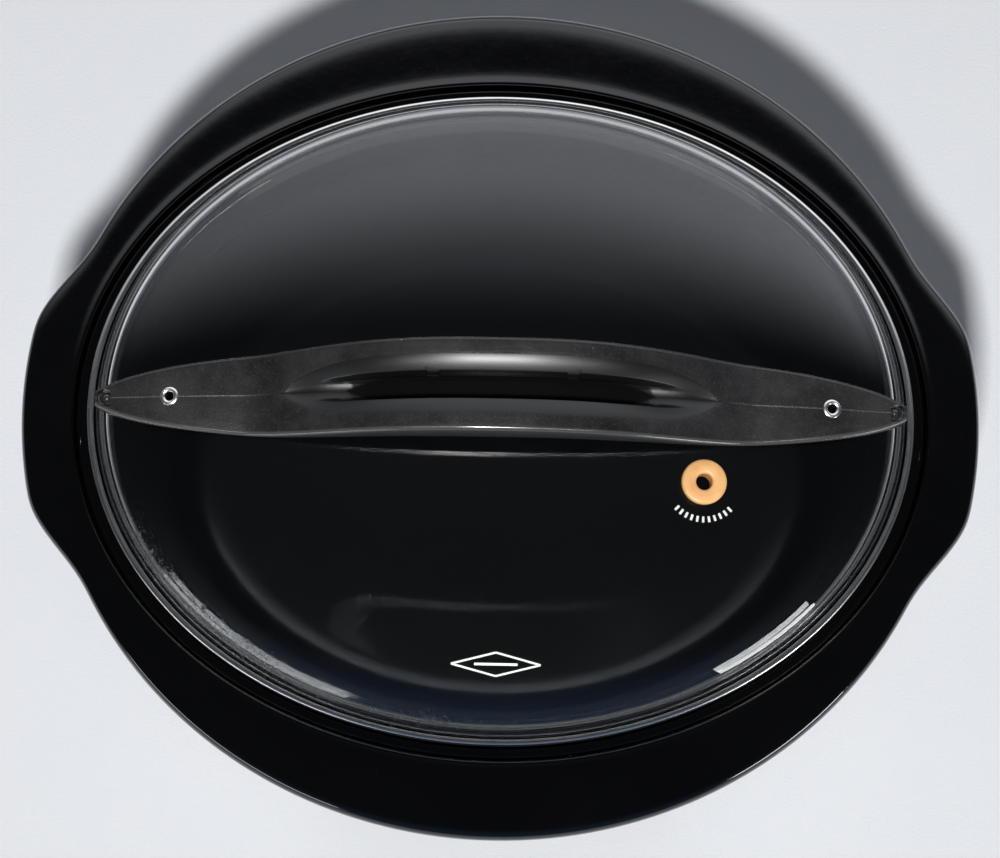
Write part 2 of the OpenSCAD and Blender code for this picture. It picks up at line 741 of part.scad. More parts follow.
module thermal_cutoff() {
    color([0.85, 0.83, 0.78]) translate([46, 22, liner_z - 4]) {
        cylinder(r = 8, h = 4);
        for (side = [-1, 1]) translate([side * 10 - 4, -1.6, 1]) cube([8, 3.2, 0.8]);
    }
}

module temperature_sensor() {
    color(steel) translate([-46, 22, liner_z - 4.4]) {
        cylinder(r = 3.5, h = 4.4);
        translate([0, 0, 3.6]) cylinder(r = 7, h = 0.8);
    }
}

// ---- Side grips ----

// Profile of a grip: a shelf with a rounded lip over a root plate that lies on the housing wall
function grip_profile() = let(root = grip_r - grip_out + grip_root, shelf = grip_top - grip_lip)
    concat(
        [[grip_r - 2 * grip_out, grip_top]],
        arc(grip_r - 3, grip_top - 3, 3, 90, 0, 3),
        arc(grip_r - 2, shelf + 2, 2, 0, -90, 2),
        arc(root + 5, shelf - 5, 5, 90, 180, 4),
        [[root, grip_z + 3], [root - 3, grip_z], [grip_r - 2 * grip_out, grip_z]]);

module grip() {
    color(black_plastic) difference() {
        translate([grip_mid_x, 0, 0]) rotate_extrude($fn = 180) polygon(grip_profile());
        shell_core(fit, grip_z - 5, grip_top + 5);
        for (y = [-grip_screw_y, grip_screw_y]) translate([grip_mid_x, y, grip_screw_z])
            rotate([0, 90, 0]) cylinder(r = screw_r + bore_fit, h = grip_screw_end - grip_mid_x);
    }
}

grip_screw_head_x = shell_x(grip_screw_z, grip_screw_y + screw_head_r) - 1.05 * shell_t;
grip_screw_end = shell_x(grip_screw_z, grip_screw_y) + 5;

module right_grip() {
    grip();
}

module left_grip() {
    mirror([1, 0, 0]) grip();
}

module grip_screws() {
    color(steel) for (side = [-1, 1], y = [-grip_screw_y, grip_screw_y])
        translate([side * grip_screw_head_x, y, grip_screw_z]) rotate([0, side * 90, 0])
            screw(grip_screw_end - grip_screw_head_x - 0.5);
}

// ---- Control panel ----

// Block with the bezel's outline and arched face, set in by d on every side
module bezel_block(d) {
    intersection() {
        translate([0, -bezel_y + 20, bezel_z]) rotate([90, 0, 0])
            linear_extrude(30) rounded_rect(bezel_w - 2 * d, bezel_h - 2 * d, bezel_r - d);
        translate([0, face_y, bezel_z - bezel_h]) cylinder(r = face_r - d, h = 2 * bezel_h, $fn = 720);
    }
}

// Places children on the arched face at x, z, with +Z pointing inwards along the face's normal
module on_face(x, z) {
    translate([0, face_y, z]) rotate([0, 0, asin(x / face_r)])
        translate([0, -face_r, 0]) rotate([-90, 0, 0]) children();
}

module panel_posts(r, y0, y1) {
    for (x = [-panel_post_x, panel_post_x], z = [-panel_post_z, panel_post_z])
        translate([x, y1, bezel_z + z]) rotate([90, 0, 0]) cylinder(r = r, h = y1 - y0);
}

module through_face(w, h, r, d0, d1) {
    translate([0, -bezel_y + d1, display_z]) rotate([90, 0, 0]) linear_extrude(d1 - d0) rounded_rect(w, h, r);
}

module control_bezel() {
    color(black_plastic) difference() {
        union() {
            difference() {
                bezel_block(0);
                bezel_block(bezel_t);
                shell_core(fit, bezel_z - bezel_h, bezel_z + bezel_h);
            }
            intersection() {
                panel_posts(post_r, -bezel_y, panel_board_y);
                bezel_block(bezel_t / 2);
            }
        }
        panel_posts(screw_r + bore_fit, panel_board_y - 5, panel_board_y + eps);
        through_face(lens_w + 2 * fit, lens_h + 2 * fit, 3, -eps, lens_seat);
        through_face(lens_w - 6, lens_h - 6, 2, -eps, 3 * bezel_t);
        for (i = [-2:2]) on_face(i * button_pitch, button_z)
            translate([0, 0, -eps]) cylinder(r = button_r + button_gap, h = 3 * bezel_t);
        on_face(side_x, display_z) translate([0, 0, -eps])
            cylinder(r = jack_barrel_r + bore_fit, h = 3 * bezel_t);
        at_lamps() translate([0, 0, -eps]) cylinder(r = lamp_r + bore_fit, h = 3 * bezel_t);
    }
}

module display_lens() {
    color([0.1, 0.11, 0.12, 0.6]) translate([0, -bezel_y + lens_seat, display_z]) rotate([90, 0, 0])
        linear_extrude(lens_seat - lens_sink) rounded_rect(lens_w, lens_h, 3);
}

module display_module() {
    depth = panel_board_y + bezel_y - bezel_t - 1.2;
    w = 0.85 * lens_w;
    h = 0.65 * lens_h;
    color([0.2, 0.22, 0.24])
        translate([-w / 2, panel_board_y - depth, display_z - h / 2]) cube([w, depth, h]);
}

module at_lamps() {
    for (i = [-1:1]) on_face(-side_x, display_z + i * lamp_pitch * 0.8) children();
}

module indicator_lamps() {
    color([0.85, 0.5, 0.1]) at_lamps() {
        translate([0, 0, -0.3]) cylinder(r = lamp_r, h = bezel_t + 0.6);
        translate([0, 0, bezel_t + 0.1]) cylinder(r = lamp_r + 0.8, h = 0.8);
    }
}

module control_board() {
    color(board_green) difference() {
        translate([-panel_board_w / 2, panel_board_y, bezel_z - panel_board_h / 2])
            cube([panel_board_w, board_t, panel_board_h]);
        panel_posts(screw_r + bore_fit, panel_board_y - eps, panel_board_y + board_t + eps);
    }
}

// Distance along the face's normal from the face to the plane y, for a button at x
function face_depth(x, y) = face_r - (face_y - y) / cos(asin(x / face_r));

// Place along x where the normal of the face at x meets the plane y
function face_reach(x, y) = (face_y - y) * tan(asin(x / face_r));

module tact_switches() {
    color([0.15, 0.15, 0.16]) for (i = [-2:2])
        translate([face_reach(i * button_pitch, panel_board_y), panel_board_y, button_z]) {
            translate([-switch_w / 2, -switch_body, -switch_w / 2]) cube([switch_w, switch_body, switch_w]);
            rotate([90, 0, 0]) cylinder(r = switch_w / 4, h = switch_body + switch_tip);
        }
}

// One push button on the face at x, with a flange behind the bezel and a stem towards its switch
module push_button(x, tint) {
    stem_y = panel_board_y - switch_body - switch_tip - button_travel - button_gap;
    flange_at = bezel_t + fit;
    color(tint) on_face(x, button_z) {
        translate([0, 0, -button_out]) cylinder(r = button_r, h = button_out + flange_at + 0.4);
        translate([0, 0, flange_at]) cylinder(r = button_r + 1.4, h = 1.2);
        cylinder(r = stem_r, h = face_depth(x, stem_y));
    }
}

module power_button() {
    push_button(-2 * button_pitch, [0.55, 0.1, 0.08]);
}

module mode_button() {
    push_button(-button_pitch, [0.6, 0.6, 0.62]);
}

module minus_button() {
    push_button(0, [0.6, 0.6, 0.62]);
}

module plus_button() {
    push_button(button_pitch, [0.6, 0.6, 0.62]);
}

module start_button() {
    push_button(2 * button_pitch, [0.6, 0.6, 0.62]);
}

module board_screws() {
    color(steel) {
        translate([0, board_mid_y, board_top]) four_corners(board_hole_x, board_hole_y)
            rotate([180, 0, 0]) screw(board_top - pan_z - 2 * eps, 2.6, 1.6);
        for (x = [-panel_post_x, panel_post_x], z = [-panel_post_z, panel_post_z])
            translate([x, panel_board_y + board_t, bezel_z + z]) rotate([90, 0, 0])
                screw(board_t + 4, 2.6, 1.4);
    }
}

jack_barrel_r = 3.2;

module probe_jack() {
    color(steel) on_face(side_x, display_z) difference() {
        union() {
            translate([0, 0, -1.2]) cylinder(r = jack_barrel_r + 1.4, h = 1.2 - bore_fit);
            translate([0, 0, -bore_fit]) cylinder(r = jack_barrel_r, h = jack_end + bore_fit);
        }
        translate([0, 0, -3]) cylinder(r = jack_r, h = jack_end + 2);
    }
}

jack_end = face_depth(side_x, panel_board_y) - 1.2;

// ---- Boards and wiring in the base ----

module power_board() {
    color(board_green) difference() {
        translate([-board_w / 2, board_mid_y - board_d / 2, board_z]) cube([board_w, board_d, board_t]);
        translate([0, board_mid_y, 0]) four_corners(board_hole_x, board_hole_y)
            translate([0, 0, board_z - eps]) cylinder(r = screw_r + bore_fit, h = board_t + 2 * eps);
    }
}

module relay() {
    color([0.1, 0.2, 0.5]) translate([-12, board_mid_y - 8, board_top]) cube([19, 15.5, 10]);
}

module transformer() {
    color([0.75, 0.65, 0.2]) translate([14, board_mid_y - 12, board_top]) {
        cube([26, 24, 2]);
        translate([2, 2, 1]) cube([22, 20, 9.4]);
        translate([6, -1, 2]) cube([14, 26, 7]);
    }
}

// Two screw clamps for the heater's leads, at the left end of the power board
terminal_x = -board_w / 2 + 10;
terminal_y = board_mid_y - 6;
terminal_pitch = 7;

module terminal_block() {
    color([0.1, 0.45, 0.2]) translate([terminal_x - 4, terminal_y - terminal_pitch, board_top]) difference() {
        cube([9, 2 * terminal_pitch, 9]);
        for (i = [0.5, 1.5]) translate([4.5, i * terminal_pitch, 6]) cylinder(r = 1.8, h = 4);
    }
}

// Rings of a wire carried on from one ring along the rest of its points, mitred at each bend
function wire_rings(ring, points, i) = let(
    run = unit(points[i] - points[i - 1]),
    plane = i + 1 < len(points) ? run + unit(points[i + 1] - points[i]) : run,
    next = [for (p = ring) p + run * ((points[i] - p) * plane) / (run * plane)])
    concat([next], i + 1 < len(points) ? wire_rings(next, points, i + 1) : []);

function unit(v) = v / norm(v);

// Bent lead of round wire through a list of points, starting along -X
module lead(points) {
    start = [for (t = [0:30:330]) points[0] + lead_r * [0, cos(t), -sin(t)]];
    loft(concat([start], wire_rings(start, points, 1)));
}

lead_top = band_z + band_h + lead_r + 0.1;

module heater_leads() {
    for (i = [0, 1]) {
        y = terminal_y + (i - 0.5) * terminal_pitch;
        x_up = -lead_x - 7 * i;
        y_up = -shell_k * sqrt(pow(pan_ledge_a - lead_r - 0.5, 2) - x_up * x_up);
        y_in = -liner_k * sqrt(pow(liner_a_at(lead_top) + liner_t + lead_r + 0.3, 2) - x_up * x_up);
        color([0.8, 0.8, 0.78]) lead([
            [terminal_x - 4.2, y, board_top + 4], [x_up, y, board_top + 4],
            [x_up, y_up, board_top + 8 + 3 * i], [x_up, y_up, lead_top], [x_up, y_in, lead_top]]);
    }
}

module ribbon_cable() {
    cable_y = panel_board_y + board_t;
    cable_z = bezel_z - panel_board_h / 2 + 2;
    front = board_mid_y - board_d / 2;
    color([0.7, 0.7, 0.72]) {
        translate([-8, cable_y, board_top]) cube([16, 1, cable_z + 4 - board_top]);
        translate([-8, cable_y, board_top]) cube([16, front + 4 - cable_y, 1]);
    }
}

// ---- Cord inlet at the back ----

gland_r = 4.8;
gland_z = pan_top + gland_r + 0.6;
gland_y = shell_k * (shell_a_at(gland_z) + pan_wall + fit);

module cord_axis() {
    translate([0, gland_y, gland_z]) rotate([-90, 0, 0]) children();
}

module cord_gland() {
    depth = gland_y - shell_k * pan_inside_a + 0.1;
    ring = 1.6;
    color(black_plastic) cord_axis() difference() {
        union() {
            translate([0, 0, 0.5]) cylinder(r = gland_r + 2.4, h = 2.4);
            translate([0, 0, -depth - ring]) cylinder(r = gland_r, h = depth + ring + 1);
            translate([0, 0, -depth - ring]) cylinder(r = gland_r + 0.5, h = ring);
        }
        translate([0, 0, -depth - ring - eps]) cylinder(r = cord_r, h = depth + ring + 5);
    }
}

crock();
lid_glass();
lid_rim_band();
lid_gasket();
lid_handle();
handle_washers();
lid_rivets();
probe_grommet();
base_pan();
rubber_feet();
foot_screws();
housing_shell();
rim_trim();
heating_liner();
heater_band();
band_clamp_bolts();
band_clamp_nuts();
insulation_wrap();
heat_shield();
tie_stud();
tie_nut();
thermal_cutoff();
temperature_sensor();
left_grip();
right_grip();
grip_screws();
control_bezel();
display_lens();
display_module();
indicator_lamps();
control_board();
tact_switches();
board_screws();
ribbon_cable();
power_board();
relay();
transformer();
terminal_block();
heater_leads();
probe_jack();
cord_gland();
power_button();
mode_button();
minus_button();
plus_button();
start_button();
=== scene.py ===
"""Oval slow cooker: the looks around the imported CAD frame, in metres and in the frame's own axes."""

import json
import math

import bmesh
import bpy
from mathutils import Matrix, Vector


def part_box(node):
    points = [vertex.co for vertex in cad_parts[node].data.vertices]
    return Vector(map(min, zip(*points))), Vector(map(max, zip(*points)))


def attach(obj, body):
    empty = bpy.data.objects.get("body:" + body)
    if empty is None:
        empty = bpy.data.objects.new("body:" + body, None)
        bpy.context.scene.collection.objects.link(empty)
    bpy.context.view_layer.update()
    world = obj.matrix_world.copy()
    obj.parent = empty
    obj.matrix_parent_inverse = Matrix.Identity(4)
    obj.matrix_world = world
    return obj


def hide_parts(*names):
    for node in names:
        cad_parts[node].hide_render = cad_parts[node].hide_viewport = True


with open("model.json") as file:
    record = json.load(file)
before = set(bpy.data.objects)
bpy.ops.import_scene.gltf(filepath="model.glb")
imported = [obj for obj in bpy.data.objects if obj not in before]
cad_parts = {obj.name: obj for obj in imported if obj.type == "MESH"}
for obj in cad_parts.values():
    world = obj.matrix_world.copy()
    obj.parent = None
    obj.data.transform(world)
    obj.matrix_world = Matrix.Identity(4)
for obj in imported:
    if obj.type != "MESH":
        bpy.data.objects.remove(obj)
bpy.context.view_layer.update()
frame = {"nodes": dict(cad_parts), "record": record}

# ---- Driving dimensions, as in the part's source, in metres ----

BOWL_A = 0.147
BOWL_B = 0.116
BOWL_DRAFT = 0.016
BOWL_FILLET = 0.020
CROCK_WALL = 0.008
CROCK_FLOOR = 0.008
CROCK_CORNER = 0.016
GALLERY_D = 0.0135
RIDGE_W = 0.0028
RIDGE_H = 0.0055
FLANGE_A = 0.1705
FLANGE_B = 0.159
FLANGE_FALL = 0.0025
FLANGE_UNDER = 0.005
LUG_REACH = 0.1809
LUG_FLAT = 0.033
LUG_CROWN = 0.0035
LUG_FOOT = 0.067

LID_A = 0.1555
LID_B = 0.1245
LID_K = LID_B / LID_A
DOME_RISE = 0.031
DOME_POWER = 0.35
GLASS_T = 0.004
BAND_T = 0.0006
BAND_W = 0.0026
GASKET_W = 0.0056
GLASS_A = LID_A - BAND_T - 0.0003
GLASS_EDGE_W = 0.0025
DOME_A = GLASS_A - GLASS_EDGE_W
HOUSING_K = 137 / 163

STRAP_A = LID_A - 0.0045
STRAP_B = 0.0175
STRAP_T = 0.0022
STRAP_GAP = 0.001
STRAP_TIP_X = STRAP_A - 0.023
STRAP_END = STRAP_A + 0.002
STRAP_TAPER = (3.0, 0.58)  # exponents of x and of the whole outline
ARCH_RISE = 0.0258
ARCH_A = 0.096
GRIP_T = 0.0105
TROUGH_A = 0.0815
TROUGH_B = 0.0112
TROUGH_DEPTH = 0.010
TROUGH_TAPER = (6.0, 0.9)
FAR_LIP = (0.52, 0.0022)  # share of the trough's half-width, then depth
NEAR_LIP = (0.26, 0.0007)
RIVET_X = 0.122
RIVET_R = 0.0023
CATCH_R = 0.0034
CATCH_DEPTH = 0.0026
CATCH_X = STRAP_A - CATCH_R - 0.0008

GROMMET_X = 0.0755
GROMMET_Y = -0.029
GROMMET_R = 0.0084
GROMMET_NECK_R = GROMMET_R - 0.0026
GROMMET_TOP = 0.0026
PROBE_R = 0.003

# Levels read from the frame
CROCK_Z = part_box("crock")[0].z
LEDGE_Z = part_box("lid_gasket")[0].z - 0.0003
RIDGE_Z = LEDGE_Z + RIDGE_H
FLANGE_Z = LEDGE_Z - FLANGE_UNDER
BOWL_Z = CROCK_Z + CROCK_FLOOR
GLASS_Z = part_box("lid_glass")[0].z
GLASS_TOP = GLASS_Z + GLASS_T


# ---- Materials ----

class Surface:
    """A material made of nodes around one Principled shader."""

    def __init__(self, name, **constants):
        self.material = bpy.data.materials.new(name)
        self.material.use_nodes = True
        self.tree = self.material.node_tree
        self.shader = self.tree.nodes["Principled BSDF"]
        for key, value in constants.items():
            self.shader.inputs[key.replace("_", " ")].default_value = value

    def add(self, kind, inputs=None, **settings):
        node = self.tree.nodes.new("ShaderNode" + kind)
        for key, value in settings.items():
            setattr(node, key, value)
        for key, value in (inputs or {}).items():
            self.feed(node.inputs[key], value)
        return node

    def feed(self, socket, value):
        if isinstance(value, bpy.types.NodeSocket):
            self.tree.links.new(value, socket)
        else:
            socket.default_value = value

    def place(self):
        """Object coordinates, which are metres in the frame's axes."""
        return self.add("TexCoord").outputs["Object"]

    def noise(self, scale, detail=4.0, roughness=0.55, vector=None):
        return self.add("TexNoise", {"Vector": vector or self.place(), "Scale": scale, "Detail": detail,
                                     "Roughness": roughness}).outputs["Fac"]

    def cells(self, scale, feature="F1"):
        return self.add("TexVoronoi", {"Vector": self.place(), "Scale": scale}, feature=feature)

    def math(self, operation, a, b=0.0):
        node = self.add("Math", operation=operation)
        self.feed(node.inputs[0], a)
        self.feed(node.inputs[1], b)
        return node.outputs[0]

    def span(self, value, low, high, to_low=0.0, to_high=1.0):
        """value carried from low..high to to_low..to_high, and held at the ends."""
        return self.add("MapRange", {"Value": value, "From Min": low, "From Max": high, "To Min": to_low,
                                     "To Max": to_high}).outputs["Result"]

    def mix(self, share, a, b):
        node = self.add("Mix", data_type="RGBA")
        self.feed(node.inputs["Factor"], share)
        self.feed(node.inputs[6], a)
        self.feed(node.inputs[7], b)
        return node.outputs[2]

    def bump(self, height, distance, normal=None):
        inputs = {"Height": height, "Distance": distance, "Strength": 1.0}
        if normal is not None:
            inputs["Normal"] = normal
        return self.add("Bump", inputs).outputs["Normal"]

    def around(self, k):
        """Coordinates that follow an oval: turn around Z, distance from the axis, height."""
        parts = self.parts()
        y = self.math("DIVIDE", parts["Y"], k)
        turn = self.math("ARCTAN2", y, parts["X"])
        squares = [self.math("POWER", side, 2.0) for side in (parts["X"], y)]
        return turn, self.math("SQRT", self.math("ADD", *squares)), parts["Z"]

    def parts(self):
        return self.add("SeparateXYZ", {"Vector": self.place()}).outputs

    def stretched(self, k, *scales):
        """The oval coordinates, each with its own scale, for lines that run around the oval."""
        scaled = [self.math("MULTIPLY", value, scale) for value, scale in zip(self.around(k), scales)]
        return self.add("CombineXYZ", dict(zip("XYZ", scaled))).outputs["Vector"]

    def product(self, *values):
        """All the values multiplied together."""
        total = values[0]
        for value in values[1:]:
            total = self.math("MULTIPLY", total, value)
        return total

    def between(self, share, a, b):
        """Plain number from a to b."""
        return self.add("Mix", {"Factor": share, "A": a, "B": b}).outputs["Result"]

    def colour(self, socket):
        self.tree.links.new(socket, self.shader.inputs["Base Color"])

    def roughness(self, socket):
        self.tree.links.new(socket, self.shader.inputs["Roughness"])

    def normal(self, socket):
        self.tree.links.new(socket, self.shader.inputs["Normal"])

    def dust(self, scale, radius, share):
        """Mask of small specks: about one in share cells of a Voronoi pattern holds one."""
        cells = self.cells(scale)
        speck = self.span(cells.outputs["Distance"], radius, radius * 0.5)
        chosen = self.span(self.add("SeparateColor", {"Color": cells.outputs["Color"]}).outputs["Red"],
                           1 - share, 1 - share * 0.8)
        return self.math("MULTIPLY", speck, chosen)


def rgb(r, g, b):
    return (r, g, b, 1.0)


def glaze():
    """Black glaze with orange peel, pinholes and dust, duller inside the bowl from use."""
    s = Surface("glaze", Coat_Weight=0.2, Coat_Roughness=0.02)
    pool = s.noise(26.0, 3.0)
    base = s.mix(s.span(pool, 0.35, 0.7), rgb(0.0026, 0.0027, 0.0030), rgb(0.0046, 0.0046, 0.0048))
    s.colour(s.mix(s.dust(300.0, 0.05, 0.035), base, rgb(0.24, 0.23, 0.22)))
    fresh = s.span(s.noise(60.0, 5.0), 0.3, 0.75, 0.05, 0.12)
    _, across, height = s.around(BOWL_B / BOWL_A)
    inside = s.product(s.span(height, LEDGE_Z - 0.010, LEDGE_Z - 0.030),
                       s.span(across, BOWL_A + 0.001, BOWL_A))
    s.roughness(s.between(inside, fresh, 0.30))
    peel = s.bump(s.noise(120.0, 2.0), 0.00008)
    pin = s.cells(420.0).outputs["Distance"]
    s.normal(s.bump(s.span(pin, 0.0, 0.12), 0.00003, normal=peel))
    return s.material


def clear_glass():
    """Clear glass with specks of dust, smeared along the front of the rim and most at the left."""
    s = Surface("clear_glass", IOR=1.5, Transmission_Weight=1.0)
    turn, across, _ = s.around(LID_K)
    smear = s.product(s.span(across, DOME_A - 0.024, DOME_A - 0.006), s.span(turn, 0.2, -0.5),
                      s.span(s.parts()["X"], 0.10, -0.02), s.span(s.noise(30.0, 4.0, 0.6), 0.40, 0.60),
                      s.span(s.noise(380.0, 6.0, 0.75), 0.50, 0.60))
    s.colour(s.mix(s.dust(230.0, 0.05, 0.05), rgb(0.94, 0.965, 0.975), rgb(0.80, 0.80, 0.80)))
    s.roughness(s.span(smear, 0.0, 1.0, 0.004, 0.34))
    s.normal(s.bump(s.noise(14.0, 1.0), 0.00012))
    return s.material


def polished_steel():
    """Rolled steel with fine lines around the lid, with painted shade from ambient occlusion darkening its
    crevices.
    """
    s = Surface("polished_steel", Metallic=1.0)
    lines = s.noise(1.0, 3.0, 0.6, s.stretched(LID_K, 9.0, 5200.0, 5200.0))
    painted_crevice_shade = s.add("AmbientOcclusion", {"Distance": 0.004}, samples=8).outputs["AO"]
    bright = s.mix(s.noise(120.0), rgb(0.66, 0.655, 0.635), rgb(0.80, 0.795, 0.78))
    # Painted shade: ambient occlusion darkens the steel's colour to near black in crevices, the rivets' bores
    # and the band's edges.
    s.colour(s.mix(s.span(painted_crevice_shade, 0.12, 0.4), rgb(0.02, 0.02, 0.02), bright))
    s.roughness(s.span(lines, 0.3, 0.7, 0.22, 0.34))
    s.normal(s.bump(lines, 0.000008))
    return s.material


def brushed_housing():
    """Steel brushed around the housing's oval."""
    s = Surface("brushed_housing", Metallic=1.0, Anisotropic=0.4)
    lines = s.noise(1.0, 5.0, 0.65, s.stretched(HOUSING_K, 7.0, 300.0, 5200.0))
    broad = s.noise(14.0, 3.0)
    s.colour(s.mix(s.product(lines, broad), rgb(0.5, 0.5, 0.505), rgb(0.72, 0.715, 0.71)))
    s.roughness(s.span(lines, 0.25, 0.75, 0.24, 0.42))
    s.normal(s.bump(lines, 0.00002))
    return s.material


def moulded(name, dark, light, roughness=(0.38, 0.56), grain=1500.0, depth=0.00005, **constants):
    """Spark-textured moulding, used for plastics and rubbers."""
    s = Surface(name, **constants)
    cloud = s.noise(38.0, 5.0, 0.6)
    fine = s.noise(grain, 3.0, 0.6)
    base = s.mix(s.span(cloud, 0.3, 0.7), dark, light)
    lit = tuple(min(1.0, 1.8 * c) for c in light)
    s.colour(s.mix(s.product(s.span(fine, 0.62, 0.8), 0.5), base, lit))
    s.roughness(s.span(s.math("ADD", s.product(cloud, 0.5), s.product(fine, 0.5)), 0.35, 0.65, *roughness))
    s.normal(s.bump(fine, depth))
    return s.material


def black_plastic():
    """Blotchy satin plastic, with satin lips, a pocket of lower specular level and a burnished outline on the
    strap; painted shade darkens the whole trough, and a painted highlight lightens the outline's front edge.
    """
    s = Surface("black_plastic")
    cloud = s.noise(30.0, 6.0, 0.65)
    blotch = s.noise(210.0, 4.0, 0.6)
    fine = s.noise(1300.0, 3.0, 0.6)
    pits = s.cells(900.0).outputs["Distance"]
    tone = s.math("ADD", s.product(cloud, 0.6), s.product(blotch, 0.4))
    base = s.mix(s.span(tone, 0.36, 0.64), rgb(0.0050, 0.0050, 0.0053), rgb(0.0165, 0.0165, 0.0170))
    dusty = s.mix(s.product(s.span(fine, 0.55, 0.75), 0.6), base, rgb(0.042, 0.042, 0.042))
    spotted = s.mix(s.dust(300.0, 0.07, 0.06), dusty, rgb(0.30, 0.30, 0.30))
    parts = s.parts()
    x = s.math("ABSOLUTE", parts["X"])
    y = parts["Y"]

    def inside(half_length, first, second, half_width):
        """Distance in from an outline of the strap's own kind, measured across the strap."""
        taper = s.math("SUBTRACT", 1.0, s.math("POWER", s.math("DIVIDE", x, half_length), first))
        half = s.product(s.math("POWER", s.math("MAXIMUM", taper, 0.0001), second), half_width)
        return s.math("SUBTRACT", half, s.math("ABSOLUTE", y))

    high = s.span(parts["Z"], GLASS_TOP + DOME_RISE, GLASS_TOP + DOME_RISE + 0.001)
    # Mask of the trough: it gives the smoother finish there and also the painted shade in its colour.
    polish_and_painted_shade = s.product(s.span(inside(TROUGH_A, *TROUGH_TAPER, TROUGH_B), 0.0, 0.0003), high)
    lid_level = s.span(parts["Z"], GLASS_Z, GLASS_Z + 0.001)
    edge = s.product(s.span(inside(STRAP_END, *STRAP_TAPER, STRAP_B), 0.0018, 0.0013), lid_level)
    # Painted highlight: the strap's outline is lightened to grey along its front edge only, the side the lamps
    # catch.
    front = s.product(edge, s.span(y, 0.0, -0.002))
    painted_front_highlight = s.mix(s.product(front, 0.4), spotted, rgb(0.10, 0.10, 0.10))
    # Painted shade: the whole trough, lips and pocket alike, is given a darker colour than the rest of the
    # strap.
    s.colour(s.mix(polish_and_painted_shade, painted_front_highlight, rgb(0.0030, 0.0030, 0.0031)))
    rough = s.span(cloud, 0.3, 0.7, 0.28, 0.42)
    pocket = s.product(s.span(inside(TROUGH_A - 0.024, *TROUGH_TAPER, 0.47 * TROUGH_B), 0.0, 0.001), high)
    s.roughness(s.between(edge, s.between(polish_and_painted_shade, rough, s.between(pocket, 0.35, 0.20)), 0.15))
    grain = s.bump(s.span(pits, 0.0, 0.7), 0.00003, normal=s.bump(fine, 0.00005))
    blend = s.add("Mix", data_type="VECTOR")
    s.feed(blend.inputs["Factor"], s.math("MAXIMUM", polish_and_painted_shade, edge))
    s.feed(blend.inputs[4], grain)
    s.feed(blend.inputs[5], s.add("NewGeometry").outputs["Normal"])
    s.normal(blend.outputs[1])
    s.feed(s.shader.inputs["Specular IOR Level"], s.span(pocket, 0.0, 1.0, 0.5, 0.2))
    return s.material


def tan_silicone():
    s = Surface("tan_silicone", Subsurface_Weight=0.35, Subsurface_Radius=(0.006, 0.0025, 0.001),
                Subsurface_Scale=1.0)
    cloud = s.noise(160.0, 4.0)
    s.colour(s.mix(s.span(cloud, 0.3, 0.7), rgb(0.80, 0.41, 0.15), rgb(0.90, 0.50, 0.21)))
    s.roughness(s.span(s.noise(500.0), 0.3, 0.7, 0.3, 0.45))
    s.normal(s.bump(s.noise(900.0, 3.0), 0.00003))
    return s.material


def sheet_metal(name, dark, light, roughness=(0.25, 0.45), scale=90.0, **constants):
    s = Surface(name, Metallic=1.0, **constants)
    spangle = s.cells(scale).outputs["Color"]
    tone = s.add("SeparateColor", {"Color": spangle}).outputs["Red"]
    s.colour(s.mix(s.product(tone, s.noise(40.0)), dark, light))
    s.roughness(s.span(s.noise(220.0, 5.0), 0.3, 0.7, *roughness))
    s.normal(s.bump(s.noise(600.0, 3.0), 0.00003))
    return s.material


def printed(name, colour):
    s = Surface(name)
    cover = s.noise(1500.0, 3.0)
    s.colour(s.mix(s.span(cover, 0.3, 0.5), tuple(0.8 * c for c in colour[:3]) + (1.0,), colour))
    s.roughness(s.span(cover, 0.3, 0.7, 0.35, 0.55))
    s.normal(s.bump(cover, 0.00001))
    return s.material


def smoked_lens():
    s = Surface("dark_lens", Coat_Weight=0.6, Coat_Roughness=0.02)
    s.colour(s.mix(s.noise(40.0), rgb(0.008, 0.009, 0.010), rgb(0.014, 0.016, 0.018)))
    s.roughness(s.span(s.noise(90.0, 5.0), 0.35, 0.7, 0.05, 0.12))
    s.normal(s.bump(s.noise(30.0, 2.0), 0.00008))
    return s.material


def woven():
    s = Surface("glass_wool", Sheen_Weight=0.2)
    turn, _, height = s.around(LID_K)
    weave = s.product(s.math("SINE", s.product(turn, 900.0)), s.math("SINE", s.product(height, 4000.0)))
    s.colour(s.mix(s.span(weave, -1.0, 1.0), rgb(0.62, 0.58, 0.45), rgb(0.86, 0.82, 0.7)))
    s.roughness(s.span(s.noise(300.0), 0.3, 0.7, 0.75, 0.95))
    s.normal(s.bump(weave, 0.0003))
    return s.material


def circuit_board():
    s = Surface("circuit_board", Coat_Weight=0.3, Coat_Roughness=0.2)
    tracks = s.cells(260.0, feature="DISTANCE_TO_EDGE").outputs["Distance"]
    s.colour(s.mix(s.span(tracks, 0.04, 0.08), rgb(0.03, 0.22, 0.10), rgb(0.012, 0.10, 0.05)))
    s.roughness(s.span(s.noise(300.0), 0.3, 0.7, 0.3, 0.45))
    s.normal(s.bump(s.span(tracks, 0.04, 0.08), 0.00004))
    return s.material


